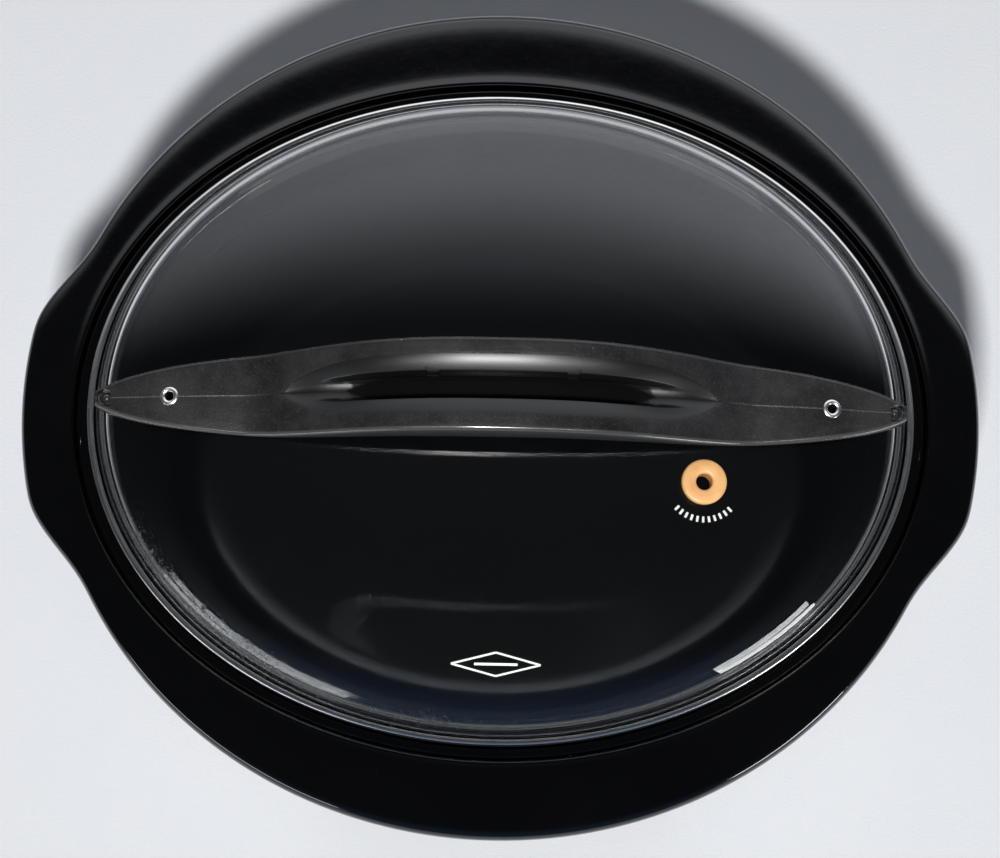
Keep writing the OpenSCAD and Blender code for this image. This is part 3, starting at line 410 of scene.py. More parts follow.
MATERIALS = {
    "glaze": glaze(),
    "clear_glass": clear_glass(),
    "polished_steel": polished_steel(),
    "brushed_housing": brushed_housing(),
    "screw_steel": sheet_metal("screw_steel", rgb(0.42, 0.42, 0.43), rgb(0.72, 0.72, 0.73),
                               (0.2, 0.4), 900.0),
    "aluminised_steel": sheet_metal("aluminised_steel", rgb(0.45, 0.46, 0.47), rgb(0.72, 0.73, 0.74),
                                    (0.35, 0.55)),
    "black_plastic": black_plastic(),
    "tan_silicone": tan_silicone(),
    "glass_wool": woven(),
    "dark_lens": smoked_lens(),
    "circuit_board": circuit_board(),
    "amber_lamp": moulded("amber_lamp", rgb(0.62, 0.26, 0.03), rgb(0.78, 0.38, 0.06), (0.12, 0.2),
                          1200.0, 0.00001, Transmission_Weight=0.25),
}
# Plain mouldings: dark colour, light colour, roughness range, and the grain's scale and depth where they differ
for slot, dark, light, *grain in (
        ("grey_silicone", (0.075, 0.077, 0.08), (0.12, 0.122, 0.126), (0.45, 0.65), 700.0),
        ("black_rubber", (0.008, 0.008, 0.008), (0.02, 0.02, 0.02), (0.6, 0.85), 800.0, 0.0001),
        ("mica_band", (0.32, 0.30, 0.25), (0.52, 0.49, 0.42), (0.5, 0.7), 500.0, 0.0001),
        ("ceramic", (0.66, 0.63, 0.57), (0.82, 0.80, 0.74), (0.4, 0.6), 900.0),
        ("module_grey", (0.03, 0.034, 0.038), (0.05, 0.054, 0.06), (0.3, 0.4), 1200.0),
        ("switch_black", (0.015, 0.015, 0.016), (0.03, 0.03, 0.032), (0.35, 0.5)),
        ("ribbon", (0.42, 0.42, 0.44), (0.58, 0.58, 0.6), (0.4, 0.55)),
        ("relay_blue", (0.01, 0.035, 0.16), (0.02, 0.06, 0.24), (0.3, 0.42)),
        ("coil_yellow", (0.50, 0.38, 0.05), (0.62, 0.50, 0.09), (0.35, 0.5)),
        ("terminal_green", (0.015, 0.14, 0.05), (0.03, 0.22, 0.08), (0.35, 0.5)),
        ("lead_sleeve", (0.5, 0.5, 0.48), (0.72, 0.72, 0.7), (0.7, 0.9), 1400.0, 0.0002),
        ("red_button", (0.20, 0.014, 0.010), (0.28, 0.024, 0.016), (0.32, 0.45)),
        ("grey_button", (0.24, 0.24, 0.25), (0.33, 0.33, 0.34), (0.32, 0.45))):
    MATERIALS[slot] = moulded(slot, rgb(*dark), rgb(*light), *grain)
WHITE_PRINT = printed("white_print", rgb(0.82, 0.82, 0.80))
GLOSS_BLACK = moulded("gloss_black", rgb(0.02, 0.02, 0.021), rgb(0.034, 0.034, 0.035), (0.12, 0.22),
                      900.0, 0.00001, Coat_Weight=0.4, Coat_Roughness=0.06)


# ---- Building meshes ----

def piece(name, mesh, body, slot, replaces=(), material=None):
    """A piece of the visual model, with its slot's material, riding on its body."""
    mesh.materials.clear()
    mesh.materials.append(material or MATERIALS[slot])
    obj = bpy.data.objects.new(name, mesh)
    bpy.context.scene.collection.objects.link(obj)
    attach(obj, body)
    if replaces:
        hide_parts(*replaces)
    return obj


def mesh_of(name, verts, faces):
    mesh = bpy.data.meshes.new(name)
    mesh.from_pydata([tuple(v) for v in verts], [], faces)
    mesh.update()
    return mesh


def settle(mesh, sharp=40.0):
    """Outward normals, smooth faces, and crease edges kept sharp above an angle in degrees."""
    bm = bmesh.new()
    bm.from_mesh(mesh)
    bmesh.ops.recalc_face_normals(bm, faces=bm.faces)
    limit = math.radians(sharp)
    for face in bm.faces:
        face.smooth = True
    for edge in bm.edges:
        edge.smooth = len(edge.link_faces) != 2 or edge.calc_face_angle(0.0) < limit
    bm.to_mesh(mesh)
    bm.free()
    return mesh


def apply_modifiers(obj):
    """Give the object its mesh with the modifiers applied."""
    depsgraph = bpy.context.evaluated_depsgraph_get()
    done = bpy.data.meshes.new_from_object(obj.evaluated_get(depsgraph))
    obj.modifiers.clear()
    obj.data = done


def loft(name, rings):
    """Closed skin through rings that all have the same number of points."""
    n = len(rings[0])
    verts = [p for ring in rings for p in ring]
    faces = []
    for k in range(len(rings) - 1):
        for i in range(n):
            j = (i + 1) % n
            faces.append((k * n + i, k * n + j, (k + 1) * n + j, (k + 1) * n + i))
    faces.append(tuple(range(n - 1, -1, -1)))
    faces.append(tuple((len(rings) - 1) * n + i for i in range(n)))
    return mesh_of(name, verts, faces)


def oval_revolve(name, profile, k, steps=256):
    """Closed profile of (distance, height) points swept around Z, with its width k times its length."""
    n = len(profile)
    verts = []
    faces = []
    for s in range(steps):
        t = 2 * math.pi * s / steps
        verts += [(r * math.cos(t), k * r * math.sin(t), z) for r, z in profile]
    for s in range(steps):
        u = (s + 1) % steps
        for i in range(n):
            j = (i + 1) % n
            faces.append((s * n + i, u * n + i, u * n + j, s * n + j))
    mesh = mesh_of(name, verts, faces)
    bm = bmesh.new()
    bm.from_mesh(mesh)
    bmesh.ops.remove_doubles(bm, verts=bm.verts, dist=1e-7)
    bmesh.ops.dissolve_degenerate(bm, edges=bm.edges, dist=1e-8)
    bm.to_mesh(mesh)
    bm.free()
    return mesh


def rounded(points, radii, steps=5):
    """Closed outline with each corner rounded by its own radius."""
    out = []
    n = len(points)
    for i, r in enumerate(radii):
        p = Vector(points[i])
        a = Vector(points[i - 1]) - p
        b = Vector(points[(i + 1) % n]) - p
        if r <= 0:
            out.append(tuple(p))
            continue
        half = a.angle(b) / 2
        reach = min(r / math.tan(half), 0.48 * a.length, 0.48 * b.length)
        start = p + a.normalized() * reach
        end = p + b.normalized() * reach
        for s in range(steps + 1):
            u = s / steps
            out.append(tuple((1 - u) * (1 - u) * start + 2 * u * (1 - u) * p + u * u * end))
    return out


def cut(obj, tools):
    """Boolean difference of tool meshes from the object, applied."""
    for mesh in tools:
        tool = bpy.data.objects.new("cutter", mesh)
        bpy.context.scene.collection.objects.link(tool)
        modifier = obj.modifiers.new("cut", "BOOLEAN")
        modifier.operation = "DIFFERENCE"
        modifier.solver = "EXACT"
        modifier.object = tool
        apply_modifiers(obj)
        bpy.data.objects.remove(tool)


def lathe(name, profile, place, steps=64):
    """Closed profile turned around its own axis and set in place by a matrix."""
    mesh = oval_revolve(name, profile, 1.0, steps)
    mesh.transform(place)
    return mesh


def rod(radius, low, high, place):
    return lathe("rod", [(0, low), (radius, low), (radius, high), (0, high)], place, 48)


# ---- Shared forms ----

def dome_height(x, y, a=DOME_A, level=GLASS_TOP):
    u = max(0.0, 1 - (x / a) ** 2 - (y / (a * LID_K)) ** 2)
    return level + DOME_RISE * u ** DOME_POWER


def on_glass(x, y):
    """Frame whose Z is the glass's outward normal at x, y."""
    h = 0.0005
    dx = (dome_height(x + h, y) - dome_height(x - h, y)) / (2 * h)
    dy = (dome_height(x, y + h) - dome_height(x, y - h)) / (2 * h)
    turn = Vector((0, 0, 1)).rotation_difference(Vector((-dx, -dy, 1)).normalized())
    return Matrix.Translation((x, y, dome_height(x, y))) @ turn.to_matrix().to_4x4()


def glass_depth(x, y):
    normal = on_glass(x, y).to_3x3() @ Vector((0, 0, 1))
    return (dome_height(x, y) - dome_height(x, y, DOME_A - GLASS_T, GLASS_Z)) * normal.z


# ---- Crock ----

def lug_share(y):
    u = min(1.0, max(0.0, (abs(y) - LUG_FLAT) / (LUG_FOOT - LUG_FLAT)))
    return 1 - u * u * (3 - 2 * u)


def flange_point(t):
    x = FLANGE_A * math.cos(t)
    y = FLANGE_B * math.sin(t)
    reach = LUG_REACH - LUG_CROWN * (y / LUG_FLAT) ** 2
    return x + math.copysign(1, x) * (reach - abs(x)) * lug_share(y), y


def crock_ring(d, m, z):
    """Ring at height z: d out from the bowl's oval, then a share m of the way to the flange's outline."""
    count = 144
    ring = []
    for i in range(count):
        u = 2 * math.pi * i / count
        t = u - math.radians(11) * math.sin(2 * u)
        px = (BOWL_A + d) * math.cos(t)
        py = (BOWL_B + d) * math.sin(t)
        qx, qy = flange_point(t)
        ring.append((px + (qx - px) * m, py + (qy - py) * m, z))
    return ring


def crock_rows():
    """Rings of the crock from the bowl's floor over the gallery and the flange to the foot, as (d, m, z)."""
    rows = []
    for i in range(6):
        t = math.radians(18 * i)
        rows.append((BOWL_FILLET * (math.sin(t) - 1) - BOWL_DRAFT, 0,
                     BOWL_Z + BOWL_FILLET * (1 - math.cos(t))))
    d = GALLERY_D
    rows += [
        (-0.45 * BOWL_DRAFT, 0, BOWL_Z + 0.6 * (LEDGE_Z - BOWL_Z)),
        (0, 0, LEDGE_Z - 0.0025), (0.0008, 0, LEDGE_Z - 0.0008), (0.0025, 0, LEDGE_Z),
        (0.5 * d, 0, LEDGE_Z),
        (d - 0.0016, 0, LEDGE_Z), (d - 0.0003, 0, LEDGE_Z + 0.0006), (d, 0, LEDGE_Z + 0.0016),
        (d + 0.0002, 0, RIDGE_Z - 0.0011), (d + 0.0005, 0, RIDGE_Z - 0.0004), (d + 0.0011, 0, RIDGE_Z),
        (d + 0.0018, 0, RIDGE_Z), (d + 0.0025, 0, RIDGE_Z - 0.0004)]
    foot = d + RIDGE_W
    for m, fall in ((0.03, 0.32), (0.10, 0.40), (0.35, 0.46), (0.60, 0.52), (0.78, 0.62), (0.90, 0.92)):
        rows.append((foot, m, RIDGE_Z - fall * FLANGE_FALL))
    for m, drop in ((0.96, 0.0009), (0.99, 0.0024), (1, 0.0038)):
        rows.append((foot, m, RIDGE_Z - FLANGE_FALL - drop))
    rows += [
        (foot, 1, FLANGE_Z + 0.0024), (foot, 0.985, FLANGE_Z + 0.0008), (foot, 0.93, FLANGE_Z),
        (foot, 0.5, FLANGE_Z),
        (CROCK_WALL + 0.0016, 0, FLANGE_Z), (CROCK_WALL + 0.0003, 0, FLANGE_Z - 0.0004),
        (CROCK_WALL, 0, FLANGE_Z - 0.0016),
        (CROCK_WALL - 0.4 * BOWL_DRAFT, 0, CROCK_Z + 0.6 * (FLANGE_Z - CROCK_Z))]
    for i in range(6):
        t = math.radians(90 - 18 * i)
        rows.append((CROCK_WALL - BOWL_DRAFT + CROCK_CORNER * (math.sin(t) - 1), 0,
                     CROCK_Z + CROCK_CORNER * (1 - math.cos(t))))
    return rows


def build_crock():
    mesh = loft("crock_body", [crock_ring(*row) for row in crock_rows()])
    obj = piece("crock_body", mesh, "crock", "glaze", ["crock"])
    smooth = obj.modifiers.new("smooth", "SUBSURF")
    smooth.levels = smooth.render_levels = 1
    apply_modifiers(obj)
    settle(obj.data, 60)


# ---- Lid ----

def dome_profile(a, level, start, end):
    """Points of the dome's section between two angles in degrees, where 0 is the crown."""
    steps = 64
    points = []
    for i in range(steps + 1):
        t = math.radians(start + (end - start) * i / steps)
        points.append((a * math.sin(t), level + DOME_RISE * max(0.0, math.cos(t)) ** (2 * DOME_POWER)))
    return points


def build_glass():
    top = dome_profile(DOME_A, GLASS_TOP, 0, 83)
    under = dome_profile(DOME_A - GLASS_T, GLASS_Z, 84, 0)
    foot = rounded([top[-1], (DOME_A + 0.0002, GLASS_TOP), (GLASS_A, GLASS_TOP)], [0, 0.0010, 0], 6)
    heel = rounded([(GLASS_A, GLASS_Z), (DOME_A - GLASS_T, GLASS_Z), under[0]], [0, 0.0015, 0], 6)
    rim = [(GLASS_A - 0.0001, GLASS_Z + 0.5 * GLASS_T)]
    profile = top[:-1] + foot[:-1] + [(GLASS_A - 0.0006, GLASS_TOP)] + rim + [(GLASS_A - 0.0006, GLASS_Z)]
    profile += heel[1:-1] + under
    obj = piece("lid_dome", oval_revolve("lid_dome", profile, LID_K, 288), "lid", "clear_glass",
                ["lid_glass"])
    settle(obj.data)
    holes = [(RIVET_X, 0, RIVET_R), (-RIVET_X, 0, RIVET_R), (GROMMET_X, GROMMET_Y, GROMMET_NECK_R)]
    cut(obj, [rod(r + 0.00005, -0.012, 0.012, on_glass(x, y)) for x, y, r in holes])
    settle(obj.data)


def build_rim_band():
    low = GLASS_Z - BAND_T
    high = GLASS_TOP + BAND_T
    inner = LID_A - BAND_W
    seat = LID_A - 0.0016
    outline = [(inner, low), (LID_A, low), (LID_A, high - 0.0005), (LID_A - 0.0012, high),
               (inner, high - 0.0002), (inner, GLASS_TOP + 0.00005), (seat, GLASS_TOP), (seat, GLASS_Z),
               (inner, GLASS_Z - 0.00005)]
    radii = [0.00025, 0.0011, 0.0012, 0.0012, 0.0002, 0.0001, 0.0001, 0.0001, 0.0001]
    obj = piece("rim_channel", oval_revolve("rim_channel", rounded(outline, radii, 6), LID_K, 320), "lid",
                "polished_steel", ["lid_rim_band"])
    settle(obj.data, 50)


def build_gasket():
    low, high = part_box("lid_gasket")
    outer = high.x
    inner = outer - GASKET_W
    outline = [(inner, high.z), (inner, low.z + 0.0010), (inner + 0.0011, low.z), (outer - 0.0011, low.z),
               (outer, low.z + 0.0010), (outer, high.z)]
    radii = [0, 0.0006, 0.0006, 0.0006, 0.0006, 0]
    obj = piece("gasket_ring", oval_revolve("gasket_ring", rounded(outline, radii, 4), LID_K, 256), "lid",
                "grey_silicone", ["lid_gasket"])
    settle(obj.data, 50)


# ---- Strap handle ----

def arch_share(x):
    return max(0.0, 1 - (abs(x) / ARCH_A) ** 2.8) ** 2


def strap_sheet(x):
    return STRAP_T + 1.2 * STRAP_T * (x / STRAP_A) ** 6


def strap_line(x):
    """The glass's height, then straight on past STRAP_TIP_X, so that each tip stands clear."""
    h = 0.0005
    slope = (dome_height(STRAP_TIP_X + h, 0) - dome_height(STRAP_TIP_X - h, 0)) / (2 * h)
    return dome_height(min(abs(x), STRAP_TIP_X), 0) + slope * max(0.0, abs(x) - STRAP_TIP_X)


def strap_top(x):
    return strap_line(x) + STRAP_GAP + strap_sheet(x) + ARCH_RISE * arch_share(x)


def strap_under(x):
    return strap_top(x) - strap_sheet(x) - GRIP_T * arch_share(x)


def strap_half_width(x):
    return STRAP_B * (1 - (abs(x) / STRAP_END) ** STRAP_TAPER[0]) ** STRAP_TAPER[1]


def ease(u):
    u = min(1.0, max(0.0, u))
    return u * u * (3 - 2 * u)


def trough_half_width(x):
    return TROUGH_B * max(0.0, 1 - (abs(x) / TROUGH_A) ** TROUGH_TAPER[0]) ** TROUGH_TAPER[1]


def trough(x, y):
    """Depth of the grip's hollow: rolling lips and a deep pocket in the middle, smooth scoops at the ends."""
    half = trough_half_width(x)
    if half < 0.0001 or abs(y) >= half:
        return 0.0
    v = y / half
    lip_share, lip_depth = FAR_LIP if v > 0 else NEAR_LIP
    w = min(1.0, (1 - abs(v)) / lip_share)
    lip = lip_depth * (0.45 * w + 0.55 * w * w) * half / TROUGH_B
    end = min(1.0, (1 - abs(x) / TROUGH_A) / 0.42)
    floor = TROUGH_DEPTH * end * (2 - end)
    pocket = lip + (max(lip, floor) - lip) * ease((1 - lip_share - abs(v)) / 0.16)
    scoop = 0.52 * floor * (0.35 * (1 - v * v) + 0.325 * (1 + math.cos(math.pi * v)))
    return pocket + (scoop - pocket) * ease((abs(x) / TROUGH_A - 0.56) / 0.30)


def mould_line(x, y):
    """Fine raised line along the middle of the strap, on both sides of the trough."""
    if abs(x) < TROUGH_A + 0.001:
        return 0.0
    return 0.0001 * max(0.0, 1 - abs(y) / 0.00025)


def strap_ring(x):
    """Section of the strap: rounded top edges, the trough, the mould line and a flat underside."""
    w = strap_half_width(x)
    top = strap_top(x)
    under = strap_under(x)
    edge = max(0.15 * w, trough_half_width(x))
    r = min(0.0015, 0.3 * w, 0.6 * (top - under))
    turns = [math.radians(a) for a in range(0, 90, 15)]
    across = [(w - r * (1 - math.cos(t)), r * (1 - math.sin(t))) for t in turns]
    across += [(w - r, 0.0)] + [(edge + (w - r - edge) * f, 0.0) for f in (0.66, 0.33)]
    across += [(edge * f, 0.0) for f in (1.0, 0.96, 0.91, 0.86, 0.81, 0.77, 0.74, 0.71, 0.68, 0.65, 0.62,
                                         0.59, 0.56, 0.53, 0.50, 0.47, 0.44, 0.36, 0.25)]
    across += [(min(0.0005, 0.16 * edge), 0.0), (min(0.00025, 0.08 * edge), 0.0)]
    ring = [(x, y, top - d - trough(x, y) + mould_line(x, y)) for y, d in across]
    ring += [(x, 0.0, top - trough(x, 0) + mould_line(x, 0))]
    ring += [(x, -y, top - d - trough(x, y) + mould_line(x, y)) for y, d in reversed(across)]
    s = min(0.0005, 0.3 * (top - under))
    ring += [(x, -w, under + s), (x, -w + 0.3 * s, under + 0.3 * s), (x, -w + s, under), (x, 0, under),
             (x, w - s, under), (x, w - 0.3 * s, under + 0.3 * s), (x, w, under + s)]
    return ring


def build_strap():
    stations = 240
    xs = [STRAP_A * math.sin(math.radians(90 * (2 * i / stations - 1))) for i in range(stations + 1)]
    xs[0] = -STRAP_A + 0.00001
    xs[-1] = STRAP_A - 0.00001
    obj = piece("strap_handle", loft("strap_handle", [strap_ring(x) for x in xs]), "lid", "black_plastic",
                ["lid_handle"])
    settle(obj.data, 35)
    tools = [rod(RIVET_R + 0.00005, -0.001, 0.02, on_glass(side * RIVET_X, 0)) for side in (-1, 1)]
    for side in (-1, 1):
        outline = []
        for i in range(25):
            t = math.radians(-120 + 240 * i / 24)
            outline.append((side * (CATCH_X + CATCH_R * math.cos(t)), CATCH_R * math.sin(t)))
        floor = strap_top(CATCH_X) - CATCH_DEPTH
        rings = [[(x, y, z) for x, y in outline] for z in (floor, floor + 0.01)]
        tools.append(settle(loft("pocket", rings)))
    cut(obj, tools)
    settle(obj.data, 35)
    build_ribs()
    build_catches()


def build_ribs():
    """Two small moulded tabs under the inner edge of the trough's far lip."""
    wide, narrow = 0.0031, 0.0020
    for side, x in (("left", -0.0250), ("right", 0.0264)):
        y = 0.48 * trough_half_width(x)
        top = strap_top(x) - 0.0020
        rings = []
        for share, z in ((1.0, -0.0030), (1.0, -0.0004), (0.92, 0.0)):
            back, front = wide * share, narrow * share
            rings.append([(x + back, y + 0.0015, top + z), (x - back, y + 0.0015, top + z),
                          (x - front, y - front, top + z - 0.0002), (x + front, y - front, top + z - 0.0002)])
        mesh = loft("trough_rib_" + side, rings)
        settle(mesh, 30)
        piece("trough_rib_" + side, mesh, "lid", "black_plastic")


def build_catches():
    """Glossy button in each tip's pocket, with a curved hook around its front."""
    floor = strap_top(CATCH_X) - CATCH_DEPTH
    button = [(0, -0.0001)] + [(0.0021 * math.sin(math.radians(a)), 0.0020 * math.cos(math.radians(a)))
                               for a in range(90, -1, -10)]
    for side, name in ((-1, "left"), (1, "right")):
        place = Matrix.Translation((side * (CATCH_X - 0.0002), 0.0003, floor))
        mesh = lathe("tip_button_" + name, button, place, 48)
        settle(mesh, 60)
        piece("tip_button_" + name, mesh, "lid", "black_plastic", material=GLOSS_BLACK)
        rings = []
        for i in range(17):
            t = math.radians(-118 + 190 * i / 16)
            u = i / 16
            width = 0.00055 * math.sin(math.pi * (0.12 + 0.88 * u)) + 0.0001
            height = 0.0006 + 0.0019 * math.sin(math.pi * u)
            ring = []
            for j in range(10):
                v = 2 * math.pi * j / 10
                out = CATCH_R - 0.0006 + width * math.cos(v)
                ring.append((side * (CATCH_X + out * math.cos(t)), out * math.sin(t),
                             floor + height * (0.5 + 0.5 * math.sin(v)) - 0.0001))
            rings.append(ring)
        mesh = loft("tip_hook_" + name, rings)
        settle(mesh, 60)
        piece("tip_hook_" + name, mesh, "lid", "black_plastic", material=GLOSS_BLACK)


def build_rivets():
    """Tubular rivets: a domed head on the strap, flared under the glass."""
    grip = STRAP_GAP + strap_sheet(RIVET_X)
    under = -glass_depth(RIVET_X, 0) - 0.00035
    hole = 0.0017
    head = 0.0035
    flare = 0.004
    seat = grip + 0.00002
    outline = [(hole, under - 0.0008), (flare, under - 0.0008), (flare, under), (RIVET_R, under),
               (RIVET_R, seat), (head, seat), (head, grip + 0.00045), (0.5 * (head + hole), grip + 0.0009),
               (hole, grip + 0.0004)]
    radii = [0.0002, 0.0003, 0.0001, 0, 0, 0.0002, 0.0004, 0.0012, 0.0005]
    for side, name in ((-1, "left"), (1, "right")):
        mesh = lathe("rivet_" + name, rounded(outline, radii, 6), on_glass(side * RIVET_X, 0), 72)
        settle(mesh, 50)
        piece("rivet_" + name, mesh, "lid", "polished_steel", ["lid_rivets"] if side < 0 else ())


def build_grommet():
    """Silicone ring through the glass, with the probe's hole and a lip on both sides."""
    under = -glass_depth(GROMMET_X, GROMMET_Y) - 0.00025
    outline = [(PROBE_R, under - 0.0018), (GROMMET_R - 0.0012, under - 0.0018), (GROMMET_R - 0.0008, under),
               (GROMMET_NECK_R, under), (GROMMET_NECK_R, 0.0001), (GROMMET_R, 0.0001),
               (GROMMET_R, 0.95 * GROMMET_TOP), (GROMMET_R - 0.0026, GROMMET_TOP),
               (PROBE_R, 0.93 * GROMMET_TOP)]
    radii = [0.0003, 0.0006, 0.0002, 0, 0, 0.0002, 0.0030, 0.0024, 0.0024]
    mesh = lathe("probe_ring", rounded(outline, radii, 6), on_glass(GROMMET_X, GROMMET_Y), 96)
    settle(mesh, 50)
    piece("probe_ring", mesh, "lid", "tan_silicone", ["probe_grommet"])


def build_print():
    """Plain marks in white enamel: dashes around the grommet's front, and a lozenge at the lid's front."""
    lift = 0.00004
    bold, fine = 0.00045, 0.00035
    strokes = []
    centre = on_glass(GROMMET_X, GROMMET_Y)
    for i in range(-5, 6):
        turn = math.radians(-90 + 9.0 * i)
        line = [centre @ Vector((radius * math.cos(turn), radius * math.sin(turn), 0))
                for radius in (0.0127, 0.0134, 0.0141, 0.0149)]
        strokes.append((line, bold))
    y0 = -0.0975
    half_w = 0.0165
    half_h = 0.0042
    middle = Vector((0, y0, 0))
    turns = ((-1, 0), (0, -1), (1, 0), (0, 1), (-1, 0))
    outline = [middle + Vector((i * half_w, j * half_h, 0)) for i, j in turns]
    for a, b in zip(outline, outline[1:]):
        strokes.append(([a.lerp(b, u / 8) for u in range(9)], fine))
    strokes.append(([Vector((0.002 * i, y0, 0)) for i in range(-4, 5)], bold))
    verts = []
    faces = []
    for line, width in strokes:
        start = len(verts)
        for i, p in enumerate(line):
            ahead = line[min(i + 1, len(line) - 1)] - line[max(i - 1, 0)]
            side = Vector((-ahead.y, ahead.x, 0)).normalized() * width
            for q in (p + side, p - side):
                top = dome_height(q.x, q.y) + lift
                verts += [(q.x, q.y, top), (q.x, q.y, top - 0.6 * lift)]
        n = len(line)
        for i in range(n - 1):
            a = start + 4 * i
            b = a + 4
            faces += [(a, b, b + 2, a + 2), (a + 1, a + 3, b + 3, b + 1), (a, a + 1, b + 1, b),
                      (a + 2, b + 2, b + 3, a + 3)]
        a = start
        b = start + 4 * (n - 1)
        faces += [(a, a + 2, a + 3, a + 1), (b, b + 1, b + 3, b + 2)]
    mesh = settle(mesh_of("lid_marks", verts, faces), 30)
    piece("lid_marks", mesh, "lid", "clear_glass", material=WHITE_PRINT)


# ---- Carried-over CAD pieces ----

def dress(node, body, slot, bevel):
    """Copy of a CAD node's mesh with its edges eased and its curves shaded smooth, in the node's place."""
    sharp = 32.0
    mesh = frame["nodes"][node].data.copy()
    bm = bmesh.new()
    bm.from_mesh(mesh)
    bmesh.ops.remove_doubles(bm, verts=bm.verts, dist=2e-6)
    bmesh.ops.dissolve_limit(bm, angle_limit=math.radians(0.6), verts=bm.verts, edges=bm.edges)
    limit = math.radians(sharp)
    edges = [e for e in bm.edges if len(e.link_faces) == 2 and e.calc_face_angle(0.0) > limit]
    bmesh.ops.bevel(bm, geom=edges, offset=bevel, segments=2, profile=0.5, affect="EDGES", clamp_overlap=True)
    bm.to_mesh(mesh)
    bm.free()
    settle(mesh, sharp)
    piece(node + "_skin", mesh, body, slot, [node])


def dress_frame():
    """Every CAD node gets its slot's material; the visible ones are eased."""
    slots = {row["node"]: row["material_slot"] for row in frame["record"]["subparts"]}
    bodies = {node: body for body, nodes in frame["record"]["behaviour"]["bodies"].items() for node in nodes}
    eased = {"base_pan": 0.0004, "rubber_feet": 0.0008, "rim_trim": 0.0008, "left_grip": 0.001,
             "right_grip": 0.001, "control_bezel": 0.0005, "display_lens": 0.0004, "indicator_lamps": 0.0003,
             "probe_jack": 0.0003, "cord_gland": 0.0004, "housing_shell": 0.0002}
    eased.update({name + "_button": 0.0005 for name in ("power", "mode", "minus", "plus", "start")})
    for node, obj in frame["nodes"].items():
        slot = slots[node]
        obj.data.materials.clear()
        obj.data.materials.append(MATERIALS[slot])
        if node in eased:
            dress(node, bodies[node], slot, eased[node])


# ---- Studio ----

def build_floor():
    half = 3.0
    corners = [(-half, -half, 0), (half, -half, 0), (half, half, 0), (-half, half, 0)]
    mesh = mesh_of("floor", corners, [(0, 1, 2, 3)])
    s = Surface("floor_cloth")
    s.colour(s.mix(s.noise(9.0, 5.0), rgb(0.80, 0.82, 0.86), rgb(0.87, 0.885, 0.91)))
    s.roughness(s.span(s.noise(700.0), 0.3, 0.7, 0.8, 0.95))
    s.normal(s.bump(s.noise(900.0, 2.0), 0.0002))
    mesh.materials.append(s.material)
    floor = bpy.data.objects.new("floor", mesh)
    bpy.context.scene.collection.objects.link(floor)


def softbox(name, place, size, watts, colour=(1.0, 1.0, 1.0)):
    """Rectangular lamp aimed at the middle of the cooker and unseen by the camera."""
    light = bpy.data.lights.new(name, "AREA")
    light.shape = "RECTANGLE"
    light.size, light.size_y = size
    light.energy = watts
    light.color = colour
    lamp = bpy.data.objects.new(name, light)
    bpy.context.scene.collection.objects.link(lamp)
    lamp.location = place
    lamp.rotation_euler = (Vector((0.0, 0.0, 0.15)) - Vector(place)).to_track_quat("-Z", "Y").to_euler()
    lamp.visible_camera = False
    return lamp


def link_light(lamps, name, pieces, state):
    """Light only some pieces with the lamps, or, where state is EXCLUDE, all but them."""
    group = bpy.data.collections.new(name)
    for other in pieces:
        group.objects.link(bpy.data.objects[other])
    for entry in group.collection_objects:
        entry.light_linking.link_state = state
    for lamp in lamps:
        lamp.light_linking.receiver_collection = group


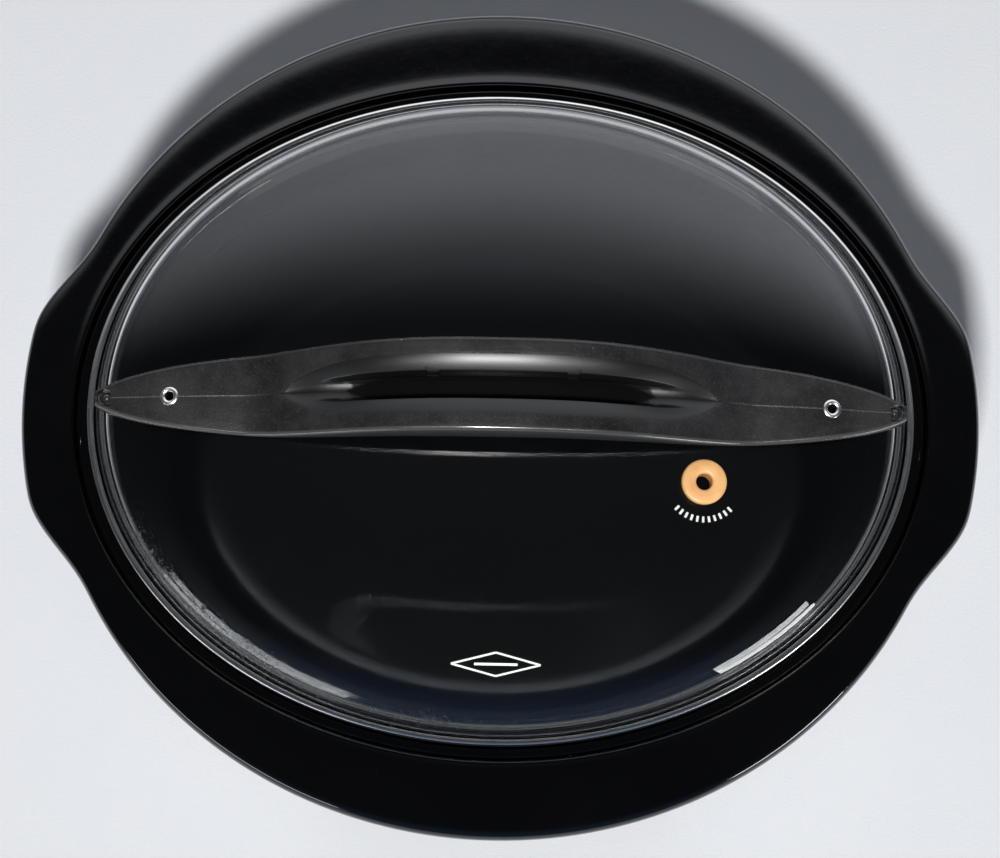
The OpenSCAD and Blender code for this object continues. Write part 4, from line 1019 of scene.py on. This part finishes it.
def build_studio():
    """A high key lamp, two low softboxes in front, a low panel behind, a long strip that only lights the strap,
    and a pale room behind that the glass and metal reflect."""
    cool = (0.97, 0.985, 1.0)
    low = [softbox("left_softbox", (-1.42, -1.60, 0.46), (1.5, 0.36), 9.0, cool),
           softbox("right_softbox", (1.55, -1.50, 0.46), (0.8, 0.36), 14.0, cool),
           softbox("back_panel", (0.0, 2.4, 0.75), (3.0, 0.9), 4.0)]
    key = softbox("key_light", (-0.11, -1.12, 3.00), (0.19, 0.19), 88.0)
    strip = softbox("strap_strip", (0.0, -1.05, 2.30), (2.6, 0.10), 24.0)
    for lamp in (key, strip):
        lamp.visible_transmission = False
    link_light([key], "spared_by_key", ["lid_dome", "crock_body", "rim_channel"], "EXCLUDE")
    link_light(low, "spared_by_low_lamps", ["floor"], "EXCLUDE")
    link_light([strip], "lit_by_strip", ["strap_handle"], "INCLUDE")
    world = bpy.data.worlds.new("studio")
    bpy.context.scene.world = world
    world.use_nodes = True
    tree = world.node_tree
    aim = tree.nodes.new("ShaderNodeSeparateXYZ")
    tree.links.new(tree.nodes.new("ShaderNodeTexCoord").outputs["Generated"], aim.inputs["Vector"])

    def ramp(axis, low, high, to_low, to_high, kind="SMOOTHSTEP"):
        node = tree.nodes.new("ShaderNodeMapRange")
        node.interpolation_type = kind
        tree.links.new(aim.outputs[axis], node.inputs["Value"])
        for field, value in (("From Min", low), ("From Max", high), ("To Min", to_low), ("To Max", to_high)):
            node.inputs[field].default_value = value
        return node.outputs["Result"]

    def times(a, b):
        node = tree.nodes.new("ShaderNodeMath")
        node.operation = "MULTIPLY"
        tree.links.new(a, node.inputs[0])
        tree.links.new(b, node.inputs[1])
        return node.outputs[0]

    def backdrop(colour, strength):
        node = tree.nodes.new("ShaderNodeBackground")
        node.inputs["Color"].default_value = colour
        if isinstance(strength, float):
            node.inputs["Strength"].default_value = strength
        else:
            tree.links.new(strength, node.inputs["Strength"])
        return node.outputs["Background"]

    def join(kind, a, b, share=None):
        node = tree.nodes.new(kind)
        first = 0 if share is None else 1
        tree.links.new(a, node.inputs[first])
        tree.links.new(b, node.inputs[first + 1])
        if share is not None:
            tree.links.new(share, node.inputs[0])
        return node.outputs[0]

    height = times(ramp("Y", 0.30, 0.66, 0.0, 1.35), ramp("X", -0.85, -0.10, 0.4, 1.0, "LINEAR"))
    pale_back = backdrop((0.90, 0.93, 1.0, 1.0), times(height, ramp("Z", -0.02, 0.34, 0.10, 1.0)))
    blue_front = backdrop((0.10, 0.20, 0.42, 1.0), ramp("Y", -0.45, -0.95, 0.0, 0.5))
    dim_room = backdrop((0.85, 0.90, 1.0, 1.0), 0.045)
    seen = join("ShaderNodeAddShader", join("ShaderNodeAddShader", pale_back, blue_front), dim_room)
    diffuse = backdrop((0.85, 0.92, 1.0, 1.0), 0.035)
    camera = backdrop((0.86, 0.88, 0.92, 1.0), 1.0)
    rays = tree.nodes.new("ShaderNodeLightPath")
    mixed = join("ShaderNodeMixShader", seen, diffuse, rays.outputs["Is Diffuse Ray"])
    mixed = join("ShaderNodeMixShader", mixed, camera, rays.outputs["Is Camera Ray"])
    tree.links.new(mixed, tree.nodes["World Output"].inputs["Surface"])


def build_camera():
    """The photograph's view: nearly overhead, from the front."""
    elevation = math.radians(78.5)
    distance = 1.8
    roll = math.radians(1.1)
    target = Vector((-0.0001, -0.00495, GLASS_TOP + BAND_T))
    camera = bpy.data.objects.new("camera", bpy.data.cameras.new("camera"))
    bpy.context.scene.collection.objects.link(camera)
    camera.location = target + distance * Vector((0, -math.cos(elevation), math.sin(elevation)))
    aim = (target - camera.location).to_track_quat("-Z", "Y").to_matrix()
    camera.rotation_euler = (aim @ Matrix.Rotation(roll, 3, "Z")).to_euler()
    camera.data.sensor_fit = "HORIZONTAL"
    camera.data.sensor_width = 36.0
    camera.data.lens = 172.5
    bpy.context.scene.camera = camera
    bpy.context.scene.view_settings.view_transform = "Standard"


dress_frame()
build_crock()
build_glass()
build_rim_band()
build_gasket()
build_strap()
build_rivets()
build_grommet()
build_print()
build_floor()
build_studio()
build_camera()
